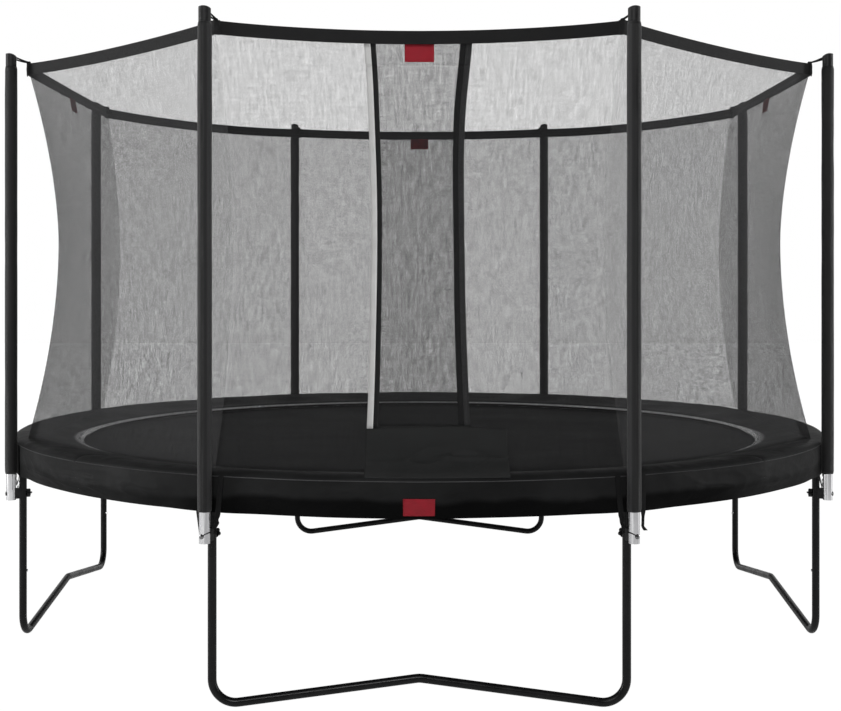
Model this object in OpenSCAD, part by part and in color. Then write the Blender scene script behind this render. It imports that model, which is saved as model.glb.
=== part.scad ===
// Round garden trampoline with four bent W legs, eight net poles and a closed safety net.
// The origin is on the ground at the middle. +Z is up and the net's entrance faces -Y.

/* [Frame ring] */
// Radius of the frame ring, at the middle of its tube
frame_r = 1880; // [1560:10:2260]
// Height of the frame ring above the ground, at the middle of its tube
frame_h = 800; // [660:10:960]
// Outer diameter of the ring's tube
ring_tube_d = 36; // [30:1:44]
// Wall of the ring's tube
ring_wall = 1.8; // [1.2:0.1:2.5]
// Springs on each of the eight rails
springs_per_rail = 10; // [6:1:12]

/* [Legs] */
// Angle between a leg's middle line and each of its two uprights
leg_half_angle = 23.6; // [21:0.1:24.5]
// Outer diameter of the leg tube
leg_tube_d = 32; // [26:1:39]
// Wall of the leg tube
leg_wall = 1.8; // [1.2:0.1:2.5]
// Radius of every bend in a leg, at the middle of the tube
leg_bend_r = 85; // [60:5:120]
// Slope of the W base, from each foot up to its middle
leg_slope = 7.6; // [4:0.2:10]
// Height at which an upright meets its W base
leg_joint_h = 260; // [220:5:320]

/* [Poles] */
// Height of the top of a pole's cap above the ground
pole_top_h = 2536; // [2100:1:3050]
// Outer diameter of a pole
pole_d = 40; // [33:1:48]
// Wall of a pole
pole_wall = 1.8; // [1.2:0.1:2.5]
// Thickness of the foam sleeve round a pole
sleeve_t = 6.5; // [5:0.5:12]
// How far a sleeve ends above the skirt's lower edge
sleeve_lift = 5; // [0:1:40]
// Height of the cap above a pole's sleeve
cap_h = 58; // [45:1:80]
// How far the bolt that clamps a pole to its leg lies below the middle of the ring's tube
bolt_drop = 171; // [150:1:210]
// Length of the pole below its clamp bolt
pole_tail = 27; // [20:1:60]

/* [Jumping mat] */
// Distance from the edge of the mat's cloth to the middle of the ring's tube
spring_room = 240; // [200:1:290]
// Thickness of the mat's cloth
mat_t = 2; // [1:0.5:4]
// Width of the webbing round the mat's edge
webbing_w = 44; // [30:1:60]
// Outer diameter of a spring
spring_d = 22; // [16:1:26]
// Diameter of a spring's wire
spring_wire_d = 3.2; // [2.4:0.1:4]
// Diameter of the wire of a mat ring
mat_ring_wire_d = 4; // [3:0.5:5]

/* [Pad] */
// How far the pad reaches over the mat's cloth
pad_overlap = 23; // [0:1:60]
// Height of the pad's inner edge above the pad's underside
pad_edge_t = 13; // [8:1:20]
// Height of the pad's crest above the pad's underside
pad_crest_t = 43; // [25:1:60]
// How far the pad's skirt hangs below the middle of the ring's tube
skirt_drop = 89; // [60:1:110]
// Thickness of the skirt
skirt_t = 2; // [1:0.5:3]

/* [Safety net] */
// Distance from the middle of a pole to the net's corner at the top
net_stand_off = 74; // [50:1:120]
// How far the net's top edge lies below the tops of the poles' caps
net_top_drop = 86; // [70:1:120]
// How far the net's corners come in between the top edge and the waist
net_flare = 122; // [40:1:150]
// How far the net's waist lies above the middle of its height
net_waist_lift = 13; // [-100:1:100]
// Thickness of the net
net_t = 0.8; // [0.6:0.1:2]
// Height of the black band along the net's top edge
band_h = 49; // [30:1:60]
// How far the band sags between two corners
band_sag = 36; // [10:1:50]

/* [Entrance] */
// Half the width over which the entrance's two layers overlap
entrance_half_w = 160; // [120:5:220]
// Height of the closed stretch of net above the entrance
entrance_header = 114; // [90:1:400]
// Width of the binding on each layer's free edge
binding_w = 22; // [15:1:30]
// How far the threshold cloth reaches past the entrance on each side
threshold_side = 104; // [40:1:160]
// Height of the threshold's upper edge above the pad's crest
threshold_rise = 151; // [100:1:200]
// Width of each tag
tag_w = 108; // [60:1:130]
// Height of each tag
tag_h = 61; // [40:1:80]

/* [Hidden] */

post_count = 8;
leg_count = 4;
wire_fn = 16;
small_fn = 24;
fine = 48;
dome_fn = 96;
round_fn = 180;
large_fn = 360;
touch = 0.3;
slip = 0.2;
cut = 1;

steel_black = "#1b1c1d";
steel_grey = "#b9bcbe";
cloth_black = "#232425";
net_grey = "#5b5d5f";

// Posts run anticlockwise from the front left: each is a tee, an upright and a pole.
function post_angle(i) = -90 + 90 * floor((i - 1) / 2) + (i % 2 == 1 ? -1 : 1) * leg_half_angle;
// A side runs from one post to the next: odd sides span a leg and even sides span the gap between two.
function side_half(i) = i % 2 == 1 ? leg_half_angle : 45 - leg_half_angle;
function side_angle(i) = -90 + 45 * (i - 1);

module at_post(i) {
    rotate([0, 0, post_angle(i)]) children();
}

module at_side(i) {
    rotate([0, 0, side_angle(i)]) children();
}

module at_every_post() {
    for (i = [1:post_count]) at_post(i) children();
}

module along_x(from, to, r) {
    translate([from, 0, 0]) rotate([0, 90, 0]) cylinder(h = to - from, r = r, $fn = fine);
}

module box(x0, x1, y0, y1, z0, z1) {
    translate([x0, y0, z0]) cube([x1 - x0, y1 - y0, z1 - z0]);
}

// ---- Frame ring ----
ring_r = ring_tube_d / 2;
rail_end_gap = 2;
tee_wall = 1.8;
tee_r = ring_r + slip + tee_wall;
tee_half_l = 55;
tee_stub_l = 66;
tee_stub_r = leg_tube_d / 2 + slip + tee_wall;
screw_r = 2.5;
screw_hole_r = screw_r + slip;
screw_head_r = 5.5;
screw_head_h = 3.5;
screw_l = 14;
rail_screw_off = 34;
spring_hole_play = 0.8;
spring_hole_r = spring_wire_d / 2 + spring_hole_play;

function arc_angle(length, r) = length / r * 180 / PI;
function spring_angle(i, k) =
    side_angle(i) + (2 * (k + 0.5) / springs_per_rail - 1) * side_half(i);

module frame_rail(i) {
    span = 2 * side_half(i) - arc_angle(rail_end_gap, frame_r);
    color(steel_black) translate([0, 0, frame_h]) difference() {
        rotate([0, 0, side_angle(i) - span / 2])
            rotate_extrude(angle = span, $fn = round_fn) translate([frame_r, 0]) difference() {
                circle(r = ring_r, $fn = fine);
                circle(r = ring_r - ring_wall, $fn = fine);
            }
        for (k = [0:springs_per_rail - 1]) rotate([0, 0, spring_angle(i, k)])
            along_x(frame_r - ring_r - cut, frame_r - ring_r / 2, spring_hole_r);
        for (s = [-1, 1])
            rotate([0, 0, side_angle(i) + s * (side_half(i) - arc_angle(rail_screw_off, frame_r))])
                translate([frame_r, 0, -ring_r - cut]) cylinder(h = ring_r, r = screw_hole_r, $fn = fine);
    }
}

module frame_tees() {
    sleeve_angle = 2 * arc_angle(tee_half_l, frame_r);
    color(steel_black) at_every_post() translate([0, 0, frame_h]) difference() {
        union() {
            rotate([0, 0, -sleeve_angle / 2])
                rotate_extrude(angle = sleeve_angle, $fn = round_fn)
                    translate([frame_r, 0]) circle(r = tee_r, $fn = fine);
            translate([frame_r, 0, -tee_r - tee_stub_l])
                cylinder(h = tee_r + tee_stub_l, r = tee_stub_r, $fn = fine);
        }
        rotate([0, 0, -sleeve_angle])
            rotate_extrude(angle = 2 * sleeve_angle, $fn = round_fn)
                translate([frame_r, 0]) circle(r = ring_r + slip, $fn = fine);
        translate([frame_r, 0, -tee_r - tee_stub_l - cut])
            cylinder(h = tee_r + tee_stub_l + cut, r = leg_r + slip, $fn = fine);
        for (s = [-1, 1]) rotate([0, 0, s * arc_angle(rail_screw_off, frame_r)])
            translate([frame_r, 0, -tee_r - cut]) cylinder(h = tee_r, r = screw_hole_r, $fn = fine);
    }
}

// ---- Legs ----
leg_r = leg_tube_d / 2;
bolt_h = frame_h - bolt_drop;
leg_bore_r = leg_r - leg_wall;
neck_r = leg_bore_r - slip;
neck_l = 62;
neck_slope_l = 6;
upright_gap = 1.2;
upright_top_h = frame_h - ring_r - upright_gap;
leg_plane = frame_r * cos(leg_half_angle);
leg_half_w = frame_r * sin(leg_half_angle);
bend_h = leg_r + leg_bend_r;
bend_turn = 90 + leg_slope;
bend_end_x = leg_half_w - leg_bend_r - leg_bend_r * sin(leg_slope);
bend_end_h = bend_h - leg_bend_r * cos(leg_slope);
apex_x = leg_bend_r * sin(leg_slope);
apex_h = bend_end_h + (bend_end_x - apex_x) * tan(leg_slope);
beam_l = (bend_end_x - apex_x) / cos(leg_slope);
// The tube draws in a little where it is bent, and each bend runs this far into the straight tube.
bend_draw = 0.05;
bend_lap = 0.5;
leg_screw_h = leg_joint_h + neck_l / 2;

module upright_screw_hole(r) {
    rotate([0, 0, 180]) along_x(0, leg_r + cut, r);
}

module leg_upright(i) {
    color(steel_black) at_post(i) translate([frame_r, 0, 0]) difference() {
        translate([0, 0, leg_joint_h + touch])
            cylinder(h = upright_top_h - leg_joint_h - touch, r = leg_r, $fn = fine);
        translate([0, 0, leg_joint_h - cut])
            cylinder(h = upright_top_h - leg_joint_h + 2 * cut, r = leg_bore_r, $fn = fine);
        translate([0, 0, leg_screw_h]) upright_screw_hole(screw_hole_r);
        translate([0, 0, bolt_h]) along_x(-leg_r - cut, leg_r + cut, bolt_hole_r);
    }
}

// One half of the W, from its middle to the bend under an upright, in the plane of the leg.
module leg_run(r, rise) {
    translate([leg_half_w, 0, bend_h]) cylinder(h = rise, r = r, $fn = fine);
    translate([leg_half_w - leg_bend_r, 0, bend_h]) rotate([90, 0, 0])
        rotate_extrude(angle = bend_turn, start = -bend_turn, $fn = round_fn)
            translate([leg_bend_r, 0]) circle(r = r, $fn = fine);
    translate([bend_end_x, 0, bend_end_h]) rotate([0, leg_slope - 90, 0])
        translate([0, 0, -bend_lap])
            cylinder(h = beam_l + 2 * bend_lap, r = r + bend_draw, $fn = fine);
}

module leg_path(r, rise) {
    leg_run(r, rise);
    mirror([1, 0, 0]) leg_run(r, rise);
    translate([0, 0, apex_h - leg_bend_r * cos(leg_slope)]) rotate([90, 0, 0])
        rotate_extrude(angle = 2 * leg_slope, start = 90 - leg_slope, $fn = round_fn)
            translate([leg_bend_r, 0]) circle(r = r, $fn = fine);
}

module leg_base(i) {
    color(steel_black) rotate([0, 0, 90 * (i - 1)]) translate([0, -leg_plane, 0]) difference() {
        union() {
            leg_path(leg_r, leg_joint_h - bend_h);
            for (s = [-1, 1]) translate([s * leg_half_w, 0, leg_joint_h - cut])
                cylinder(h = neck_l + cut, r = neck_r, $fn = fine);
        }
        leg_path(leg_bore_r, leg_joint_h - bend_h - neck_slope_l);
        for (s = [-1, 1]) translate([s * leg_half_w, 0, leg_joint_h - neck_slope_l - cut]) {
            cylinder(h = neck_l + neck_slope_l + 2 * cut, r = neck_r - leg_wall, $fn = fine);
            translate([0, 0, leg_screw_h - leg_joint_h + neck_slope_l + cut])
                rotate([0, 0, 90 + s * leg_half_angle]) along_x(0, leg_r, screw_hole_r);
        }
    }
}

// A pan-head screw that points along +X, with its head's underside at the origin.
module screw() {
    along_x(0, screw_l, screw_r);
    along_x(-screw_head_h, 0, screw_head_r);
}

module assembly_screws() {
    color(steel_grey) at_every_post() {
        for (s = [-1, 1]) rotate([0, 0, s * arc_angle(rail_screw_off, frame_r)])
            translate([frame_r, 0, frame_h - tee_r - touch]) rotate([0, -90, 0]) screw();
        translate([frame_r - leg_r - touch, 0, leg_screw_h]) screw();
    }
}

// ---- Poles ----
pole_r = pole_d / 2;
pole_foot_h = bolt_h - pole_tail;
sleeve_r = pole_r + sleeve_t;
sleeve_gap = 1.1;
pad_gap = 0.4;
skirt_inner_r = frame_r + max(tee_r, tee_stub_r) + pad_gap;
skirt_outer_r = skirt_inner_r + skirt_t;
skirt_foot_h = frame_h - skirt_drop;
sleeve_foot_h = skirt_foot_h + sleeve_lift;
sleeve_top_h = pole_top_h - cap_h;
pole_at = skirt_outer_r + sleeve_gap + sleeve_r;
cap_lip = 2.5;
cap_r = pole_r + cap_lip;
cap_spigot_l = 40;
cap_dome_r = 38;
cap_dome_off = 7;
bolt_r = 4;
bolt_hole_r = bolt_r + touch;
bolt_head_r = 9;
bolt_head_h = 4.5;
saddle_w = 28;
saddle_half_h = 22;
knob_core_r = 10;
knob_lobe_at = 11;
knob_lobe_r = 7.5;
knob_h = 14;
knob_lobes = 5;
bolt_tail = 8;
elastic_r = 2.5;
elastic_hole_drop = 22;
elastic_hole_depth = 12;
elastic_cap_h = pole_top_h - elastic_hole_drop;

module pole(i) {
    color(steel_grey) at_post(i) translate([pole_at, 0, 0]) difference() {
        translate([0, 0, pole_foot_h])
            cylinder(h = sleeve_top_h - pole_foot_h, r = pole_r, $fn = fine);
        translate([0, 0, pole_foot_h - cut])
            cylinder(h = sleeve_top_h - pole_foot_h + 2 * cut, r = pole_r - pole_wall, $fn = fine);
        translate([0, 0, bolt_h]) along_x(-pole_r - cut, pole_r + cut, bolt_hole_r);
    }
}

module pole_sleeves() {
    color(cloth_black) at_every_post() translate([pole_at, 0, sleeve_foot_h]) difference() {
        cylinder(h = sleeve_top_h - touch - sleeve_foot_h, r = sleeve_r, $fn = fine);
        translate([0, 0, -cut])
            cylinder(h = sleeve_top_h - sleeve_foot_h + cut, r = pole_r + touch, $fn = fine);
    }
}

module elastic_line(r, length) {
    translate([pole_at - cap_r + elastic_hole_depth, 0, elastic_cap_h + elastic_drop * elastic_hole_depth])
        rotate([0, -90 - atan(elastic_drop), 0]) cylinder(h = length, r = r, $fn = fine);
}

module pole_caps() {
    color(cloth_black) at_every_post() difference() {
        union() {
            translate([pole_at, 0, sleeve_top_h]) intersection() {
                cylinder(h = cap_h, r = cap_r, $fn = fine);
                translate([cap_dome_off, 0, cap_h - cap_dome_r]) sphere(r = cap_dome_r, $fn = dome_fn);
            }
            translate([pole_at, 0, sleeve_top_h]) cylinder(h = cap_h - cap_dome_r, r = cap_r, $fn = fine);
            translate([pole_at, 0, sleeve_top_h - cap_spigot_l])
                cylinder(h = cap_spigot_l + cut, r = pole_r - pole_wall - slip, $fn = fine);
        }
        elastic_line(elastic_r + slip, 2 * elastic_hole_depth);
    }
}

module pole_saddles() {
    color(cloth_black) at_every_post() translate([0, 0, bolt_h]) difference() {
        box(frame_r + leg_r / 2, pole_at - pole_r / 2, -saddle_w / 2, saddle_w / 2,
            -saddle_half_h, saddle_half_h);
        translate([frame_r, 0, -saddle_half_h - cut])
            cylinder(h = 2 * (saddle_half_h + cut), r = leg_r + slip, $fn = fine);
        translate([pole_at, 0, -saddle_half_h - cut])
            cylinder(h = 2 * (saddle_half_h + cut), r = pole_r + slip, $fn = fine);
        along_x(frame_r, pole_at, bolt_hole_r);
    }
}

module clamp_bolts() {
    head_at = pole_at + pole_r + touch;
    color(steel_grey) at_every_post() translate([0, 0, bolt_h]) {
        along_x(frame_r - leg_r - knob_h - bolt_tail, head_at, bolt_r);
        translate([head_at, 0, 0]) rotate([0, 90, 0]) intersection() {
            cylinder(h = bolt_head_h, r = bolt_head_r, $fn = fine);
            translate([0, 0, bolt_head_h - 2 * bolt_head_r]) sphere(r = 2 * bolt_head_r, $fn = dome_fn);
        }
    }
}

module clamp_knobs() {
    color(cloth_black) at_every_post() translate([frame_r - leg_r - touch - knob_h, 0, bolt_h])
        rotate([0, 90, 0]) linear_extrude(height = knob_h) difference() {
            union() {
                circle(r = knob_core_r, $fn = fine);
                for (k = [0:knob_lobes - 1]) rotate(k * 360 / knob_lobes)
                    translate([knob_lobe_at, 0]) circle(r = knob_lobe_r, $fn = fine);
            }
            circle(r = bolt_r + slip, $fn = fine);
        }
}

// ---- Mat and springs ----
mat_r = frame_r - spring_room;
ring_eye_r = 14;
webbing_t = 7;
webbing_outer_r = mat_r + 6;
loop_l = 13;
loop_w = 12;
loop_h = 10;
loop_dip = ring_eye_r - sqrt(pow(ring_eye_r, 2) - pow(loop_w / 2, 2));
loop_hole_r = (mat_ring_wire_d + loop_dip) / 2 + touch;
ring_at = webbing_outer_r + loop_l / 2 + ring_eye_r;
wire_r = spring_wire_d / 2;
eye_r = 6.5;
eye_at = ring_at + ring_eye_r - mat_ring_wire_d / 2 + eye_r - wire_r - touch;
eye_open = 50;
hook_r = 3.5;
hook_tip_l = 2;
hook_back = 2;
hook_at = frame_r - ring_r / 2 - hook_back;
spring_start = eye_at + eye_r;
spring_l = hook_at - hook_r - spring_start;
spring_lead = 11;
spring_tail = 18;
spring_taper = 9;

module at_every_spring() {
    for (i = [1:post_count], k = [0:springs_per_rail - 1]) rotate([0, 0, spring_angle(i, k)])
        translate([0, 0, frame_h]) children();
}

module jumping_mat() {
    color("#2a2b2c") translate([0, 0, frame_h - mat_t / 2])
        cylinder(h = mat_t, r = mat_r, $fn = large_fn);
}

module mat_webbing() {
    inner = mat_r + touch;
    color(cloth_black) difference() {
        union() {
            translate([0, 0, frame_h]) rotate_extrude($fn = large_fn) polygon([
                [webbing_outer_r - webbing_w, -webbing_t / 2],
                [webbing_outer_r, -webbing_t / 2],
                [webbing_outer_r, webbing_t / 2],
                [webbing_outer_r - webbing_w, webbing_t / 2],
                [webbing_outer_r - webbing_w, mat_t / 2 + touch],
                [inner, mat_t / 2 + touch],
                [inner, -mat_t / 2 - touch],
                [webbing_outer_r - webbing_w, -mat_t / 2 - touch],
            ]);
            at_every_spring() box(webbing_outer_r - cut, webbing_outer_r + loop_l,
                -loop_w / 2, loop_w / 2, -loop_h / 2, loop_h / 2);
        }
        at_every_spring() translate([ring_at - ring_eye_r + loop_dip / 2, loop_w, 0])
            rotate([90, 0, 0]) cylinder(h = 2 * loop_w, r = loop_hole_r, $fn = fine);
    }
}

module mat_rings() {
    color(steel_grey) at_every_spring() translate([ring_at, 0, 0])
        rotate_extrude($fn = fine) translate([ring_eye_r, 0])
            circle(r = mat_ring_wire_d / 2, $fn = small_fn);
}

// The coil as a barrel of its outer size, with an eye towards the mat and a hook in the rail.
module spring() {
    r = spring_d / 2;
    translate([spring_start - wire_r / 2, 0, 0]) rotate([0, 90, 0]) rotate_extrude($fn = small_fn) polygon([
        [0, 0],
        [wire_r, 0],
        [wire_r, spring_lead],
        [r, spring_lead + spring_taper],
        [r, spring_l - spring_tail - spring_taper],
        [wire_r, spring_l - spring_tail],
        [wire_r, spring_l + wire_r / 2],
        [0, spring_l + wire_r / 2],
    ]);
    translate([eye_at, 0, 0]) rotate([90, 0, 0])
        rotate_extrude(angle = 360 - eye_open, $fn = fine)
            translate([eye_r, 0]) circle(r = wire_r, $fn = wire_fn);
    translate([hook_at - hook_r, 0, hook_r]) rotate([90, 0, 0])
        rotate_extrude(angle = 90, start = -90, $fn = fine)
            translate([hook_r, 0]) circle(r = wire_r, $fn = wire_fn);
    translate([hook_at, 0, hook_r]) cylinder(h = hook_tip_l, r = wire_r, $fn = wire_fn);
}

module springs() {
    color(steel_grey) at_every_spring() spring();
}

// ---- Pad ----
pad_under_h = frame_h + tee_r + pad_gap;
pad_top_h = pad_under_h + pad_crest_t;
pad_inner_r = mat_r - pad_overlap;
pad_edge_r = pad_edge_t / 2;
pad_crest_in = 22;
pad_crest_r = frame_r - pad_crest_in;
pad_shoulder_r = skirt_outer_r;
pad_shoulder_t = 22;
crown_steps = 10;
edge_steps = 6;
seam_gap = 0.4;

// The crown rises from the inner edge to the crest on half a cosine and rounds off to the skirt.
function crown(r) = r < pad_crest_r
    ? pad_edge_t + (pad_crest_t - pad_edge_t)
        * (1 - cos(180 * (r - pad_inner_r - pad_edge_r) / (pad_crest_r - pad_inner_r - pad_edge_r))) / 2
    : pad_shoulder_t + (pad_crest_t - pad_shoulder_t)
        * sqrt(max(0, 1 - pow((r - pad_crest_r) / (pad_shoulder_r - pad_crest_r), 2)));

module pad_profile() {
    polygon(concat(
        [[skirt_inner_r, skirt_foot_h], [skirt_outer_r, skirt_foot_h]],
        [for (k = [0:crown_steps])
            let (r = pad_shoulder_r - (pad_shoulder_r - pad_crest_r) * (1 - cos(90 * k / crown_steps)))
            [r, pad_under_h + crown(r)]],
        [for (k = [1:crown_steps])
            let (r = pad_crest_r - (pad_crest_r - pad_inner_r - pad_edge_r) * k / crown_steps)
            [r, pad_under_h + crown(r)]],
        [for (k = [1:edge_steps - 1])
            [pad_inner_r + pad_edge_r - pad_edge_r * sin(180 * k / edge_steps),
             pad_under_h + pad_edge_r + pad_edge_r * cos(180 * k / edge_steps)]],
        [[pad_inner_r + pad_edge_r, pad_under_h], [skirt_inner_r, pad_under_h]]
    ));
}

module pad_section(i) {
    gap = arc_angle(seam_gap, frame_r);
    color(cloth_black) rotate([0, 0, 90 * (i - 1) - 135 + gap / 2])
        rotate_extrude(angle = 90 - gap, $fn = round_fn) pad_profile();
}

strap_w = 22;
strap_t = 1.5;
strap_r = pole_r + touch;

module pad_straps() {
    loop_foot = bolt_h + bolt_head_r + touch;
    hem = skirt_foot_h - touch;
    color(cloth_black) at_every_post() {
        translate([pole_at, 0, loop_foot])
            rotate_extrude(angle = 180, start = -90, $fn = fine)
                translate([strap_r, 0]) square([strap_t, strap_w]);
        for (s = [-1, 1]) translate([0, s * (strap_r + strap_t / 2), 0]) rotate([90, 0, 0])
            linear_extrude(height = strap_t, center = true) polygon([
                [pole_at, loop_foot],
                [pole_at, loop_foot + strap_w],
                [skirt_outer_r + strap_w / 4, hem],
                [skirt_inner_r - strap_w / 2, hem],
            ]);
    }
}

// ---- Safety net ----
net_top_r = pole_at - net_stand_off;
net_waist_r = net_top_r - net_flare;
net_top_h = pole_top_h - net_top_drop;
net_waist_h = (net_top_h + pad_top_h) / 2 + net_waist_lift;
net_rise = net_top_h - net_waist_h;
entrance_top_h = net_top_h - entrance_header;
threshold_top_h = pad_top_h + threshold_rise;
layer_gap = 5;

// Radius of the arc that a side's net follows from its top, in at the waist and out again.
function net_arc_r(half) = (pow(net_rise, 2) + pow(net_flare * cos(half), 2)) / (2 * net_flare * cos(half));

// A thin arc sheet in the plane of X and Z, off its place by off towards the middle, drawn along Y.
module net_sheet(half, off, t, z0, z1, y0, y1) {
    arc_r = net_arc_r(half);
    middle = net_waist_r * cos(half) + arc_r;
    translate([0, y1, 0]) rotate([90, 0, 0]) linear_extrude(height = y1 - y0) intersection() {
        translate([middle, net_waist_h]) difference() {
            circle(r = arc_r + off + t / 2, $fn = large_fn);
            circle(r = arc_r + off - t / 2, $fn = large_fn);
        }
        translate([0, z0]) square([middle, z1 - z0]);
    }
}

// The wedge between the two posts of a side, less half a seam at each corner.
module side_wedge(half) {
    reach = 2 * pole_at;
    translate([seam_gap / 2 / sin(half), 0, 0]) linear_extrude(height = pole_top_h)
        polygon([[0, 0], [reach, -reach * tan(half)], [reach, reach * tan(half)]]);
}

// What the net stands on: the pad's crown and the space under it.
module pad_room() {
    rotate_extrude($fn = round_fn) polygon(concat(
        [[skirt_outer_r, pad_under_h - cut], [skirt_outer_r, pad_top_h + touch]],
        [for (k = [0:crown_steps])
            let (r = pad_crest_r - (pad_crest_r - pad_inner_r - pad_edge_r) * k / crown_steps)
            [r, pad_under_h + crown(r) + touch]],
        [[pad_inner_r + pad_edge_r, pad_under_h - cut]]
    ));
}

// The net of a side between two places along it, from its top edge down to the pad.
module net_side(i, off, y0, y1) {
    half = side_half(i);
    difference() {
        intersection() {
            net_sheet(half, off, net_t, pad_under_h, net_top_h, y0, y1);
            side_wedge(half);
        }
        rotate([0, 0, -side_angle(i)]) pad_room();
    }
}

// Seen from inside, +Y of a side is its right end. On the front side, +Y is the world's +X.
module net_panel(i) {
    half_w = net_top_r;
    color(net_grey, 0.5) at_side(i) {
        if (i == 1) {
            net_side(i, layer_gap / 2, -half_w, -entrance_half_w - touch);
            net_side(i, -layer_gap / 2, entrance_half_w + touch, half_w);
            net_sheet(side_half(1), 0, layer_gap + net_t, entrance_top_h + touch, net_top_h,
                -entrance_half_w - binding_w, entrance_half_w + binding_w);
        } else {
            net_side(i, 0, -half_w, half_w);
        }
    }
}

flap_lift = 8;
flap_foot_h = threshold_top_h + flap_lift;

module entrance_flap_outer() {
    color(net_grey, 0.5) at_side(1) net_sheet(side_half(1), -layer_gap / 2, net_t,
        flap_foot_h, entrance_top_h, -entrance_half_w, entrance_half_w);
}

module entrance_flap_inner() {
    color(net_grey, 0.5) at_side(1) net_sheet(side_half(1), layer_gap / 2, net_t,
        flap_foot_h, entrance_top_h, -entrance_half_w, entrance_half_w);
}

binding_t = 1.2;

module entrance_binding_outer() {
    color("white") at_side(1) net_sheet(side_half(1), -layer_gap / 2 - net_t / 2 - binding_t / 2 - slip,
        binding_t, flap_foot_h, entrance_top_h, -entrance_half_w, binding_w - entrance_half_w);
}

module entrance_binding_inner() {
    color("#4a4b4c") at_side(1) net_sheet(side_half(1), layer_gap / 2 - net_t / 2 - binding_t / 2 - slip,
        binding_t, flap_foot_h, entrance_top_h, entrance_half_w - binding_w, entrance_half_w);
}

// Distance of a side's net from the middle of the trampoline, at a given height.
function net_at(half, z) =
    let (arc_r = net_arc_r(half))
    net_waist_r * cos(half) + arc_r - sqrt(pow(arc_r, 2) - pow(z - net_waist_h, 2));

threshold_t = 1.5;
threshold_lap = 9;
threshold_fall = 1.9;
threshold_steps = 16;
threshold_in = net_at(leg_half_angle, threshold_top_h) + layer_gap / 2 + net_t / 2 + touch;
threshold_out = skirt_outer_r - threshold_lap;

// The cloth falls from the net in a shallow curve, and lies on the pad's crest and outer edge.
function threshold_point(k, off) =
    let (s = k / threshold_steps,
         y = threshold_in + (threshold_out - threshold_in) * s,
         rest = pad_under_h + (y < pad_crest_r ? pad_crest_t : crown(y)) + touch)
    [y + off, off + max(rest, pad_top_h + (threshold_rise - off) * pow(1 - s, threshold_fall))];

module entrance_threshold() {
    width = 2 * (entrance_half_w + threshold_side);
    color(cloth_black) at_side(1) intersection() {
        rotate([90, 0, 0]) linear_extrude(height = width, center = true) polygon(concat(
            [for (k = [0:threshold_steps]) threshold_point(k, 0)],
            [for (k = [threshold_steps:-1:0]) threshold_point(k, threshold_t)]
        ));
        cylinder(h = threshold_top_h + cut, r = threshold_out, $fn = large_fn);
    }
}

band_t = 2;
band_off = layer_gap / 2 + net_t / 2 + touch;
band_arc_r = pow(net_top_r * sin(leg_half_angle), 2) / 2 / band_sag + band_sag / 2;
band_lap = 6;
band_foot_h = net_top_h - band_lap;

// The band hangs in a vertical plane on the net's outer face and sags between two corners.
module net_top_band() {
    color(cloth_black) for (i = [1:post_count]) at_side(i) intersection() {
        translate([net_top_r * cos(side_half(i)) + band_off, 0, 0])
            rotate([90, 0, 90]) linear_extrude(height = band_t) intersection() {
                translate([0, band_foot_h + band_arc_r - band_sag]) difference() {
                    circle(r = band_arc_r, $fn = 2 * large_fn);
                    translate([0, band_h]) circle(r = band_arc_r, $fn = 2 * large_fn);
                }
                translate([-net_top_r, band_foot_h - 2 * band_sag])
                    square([2 * net_top_r, band_h + 2 * band_sag]);
            }
        side_wedge(side_half(i));
    }
}

band_corner_r = net_top_r + band_off / cos(leg_half_angle);
band_top_h = band_foot_h + band_h;
knot_r = 5;
elastic_end_h = band_top_h + touch + knot_r;
elastic_drop = (elastic_cap_h - elastic_end_h) / (pole_at - cap_r - band_corner_r);

module net_elastics() {
    reach = norm([pole_at - cap_r + elastic_hole_depth - band_corner_r,
        elastic_cap_h - elastic_end_h + elastic_drop * elastic_hole_depth]);
    color(cloth_black) at_every_post() {
        elastic_line(elastic_r, reach);
        translate([band_corner_r, 0, elastic_end_h]) sphere(r = knot_r, $fn = fine);
    }
}

tag_t = 0.8;
skirt_tag_w = 112;
skirt_tag_foot_h = skirt_foot_h + 10;

function tag_off(i) = (i == 1 ? layer_gap / 2 : 0) + net_t / 2 + touch + tag_t / 2;

// A tag hangs under the band at the middle of each side with a leg, and one lies on the skirt.
module tags() {
    color("#c8102e") {
        for (i = [1:2:post_count - 1]) at_side(i)
            net_sheet(side_half(i), -tag_off(i), tag_t,
                band_foot_h - band_sag - touch - tag_h, band_foot_h - band_sag - touch,
                -tag_w / 2, tag_w / 2);
        rotate([0, 0, -90 - arc_angle(skirt_tag_w, skirt_outer_r) / 2])
            translate([0, 0, skirt_tag_foot_h])
                rotate_extrude(angle = arc_angle(skirt_tag_w, skirt_outer_r), $fn = large_fn)
                    translate([skirt_outer_r, 0]) square([tag_t, tag_h]);
    }
}

for (i = [1:8]) frame_rail(i);
frame_tees();
assembly_screws();
for (i = [1:8]) leg_upright(i);
for (i = [1:4]) leg_base(i);
for (i = [1:8]) pole(i);
pole_sleeves();
pole_caps();
pole_saddles();
clamp_bolts();
clamp_knobs();
springs();
mat_rings();
jumping_mat();
mat_webbing();
for (i = [1:4]) pad_section(i);
pad_straps();
for (i = [1:8]) net_panel(i);
net_top_band();
net_elastics();
entrance_flap_outer();
entrance_flap_inner();
entrance_binding_outer();
entrance_binding_inner();
entrance_threshold();
tags();
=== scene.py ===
import math

import bpy
import numpy as np
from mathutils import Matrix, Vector
from mathutils.geometry import tessellate_polygon


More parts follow.
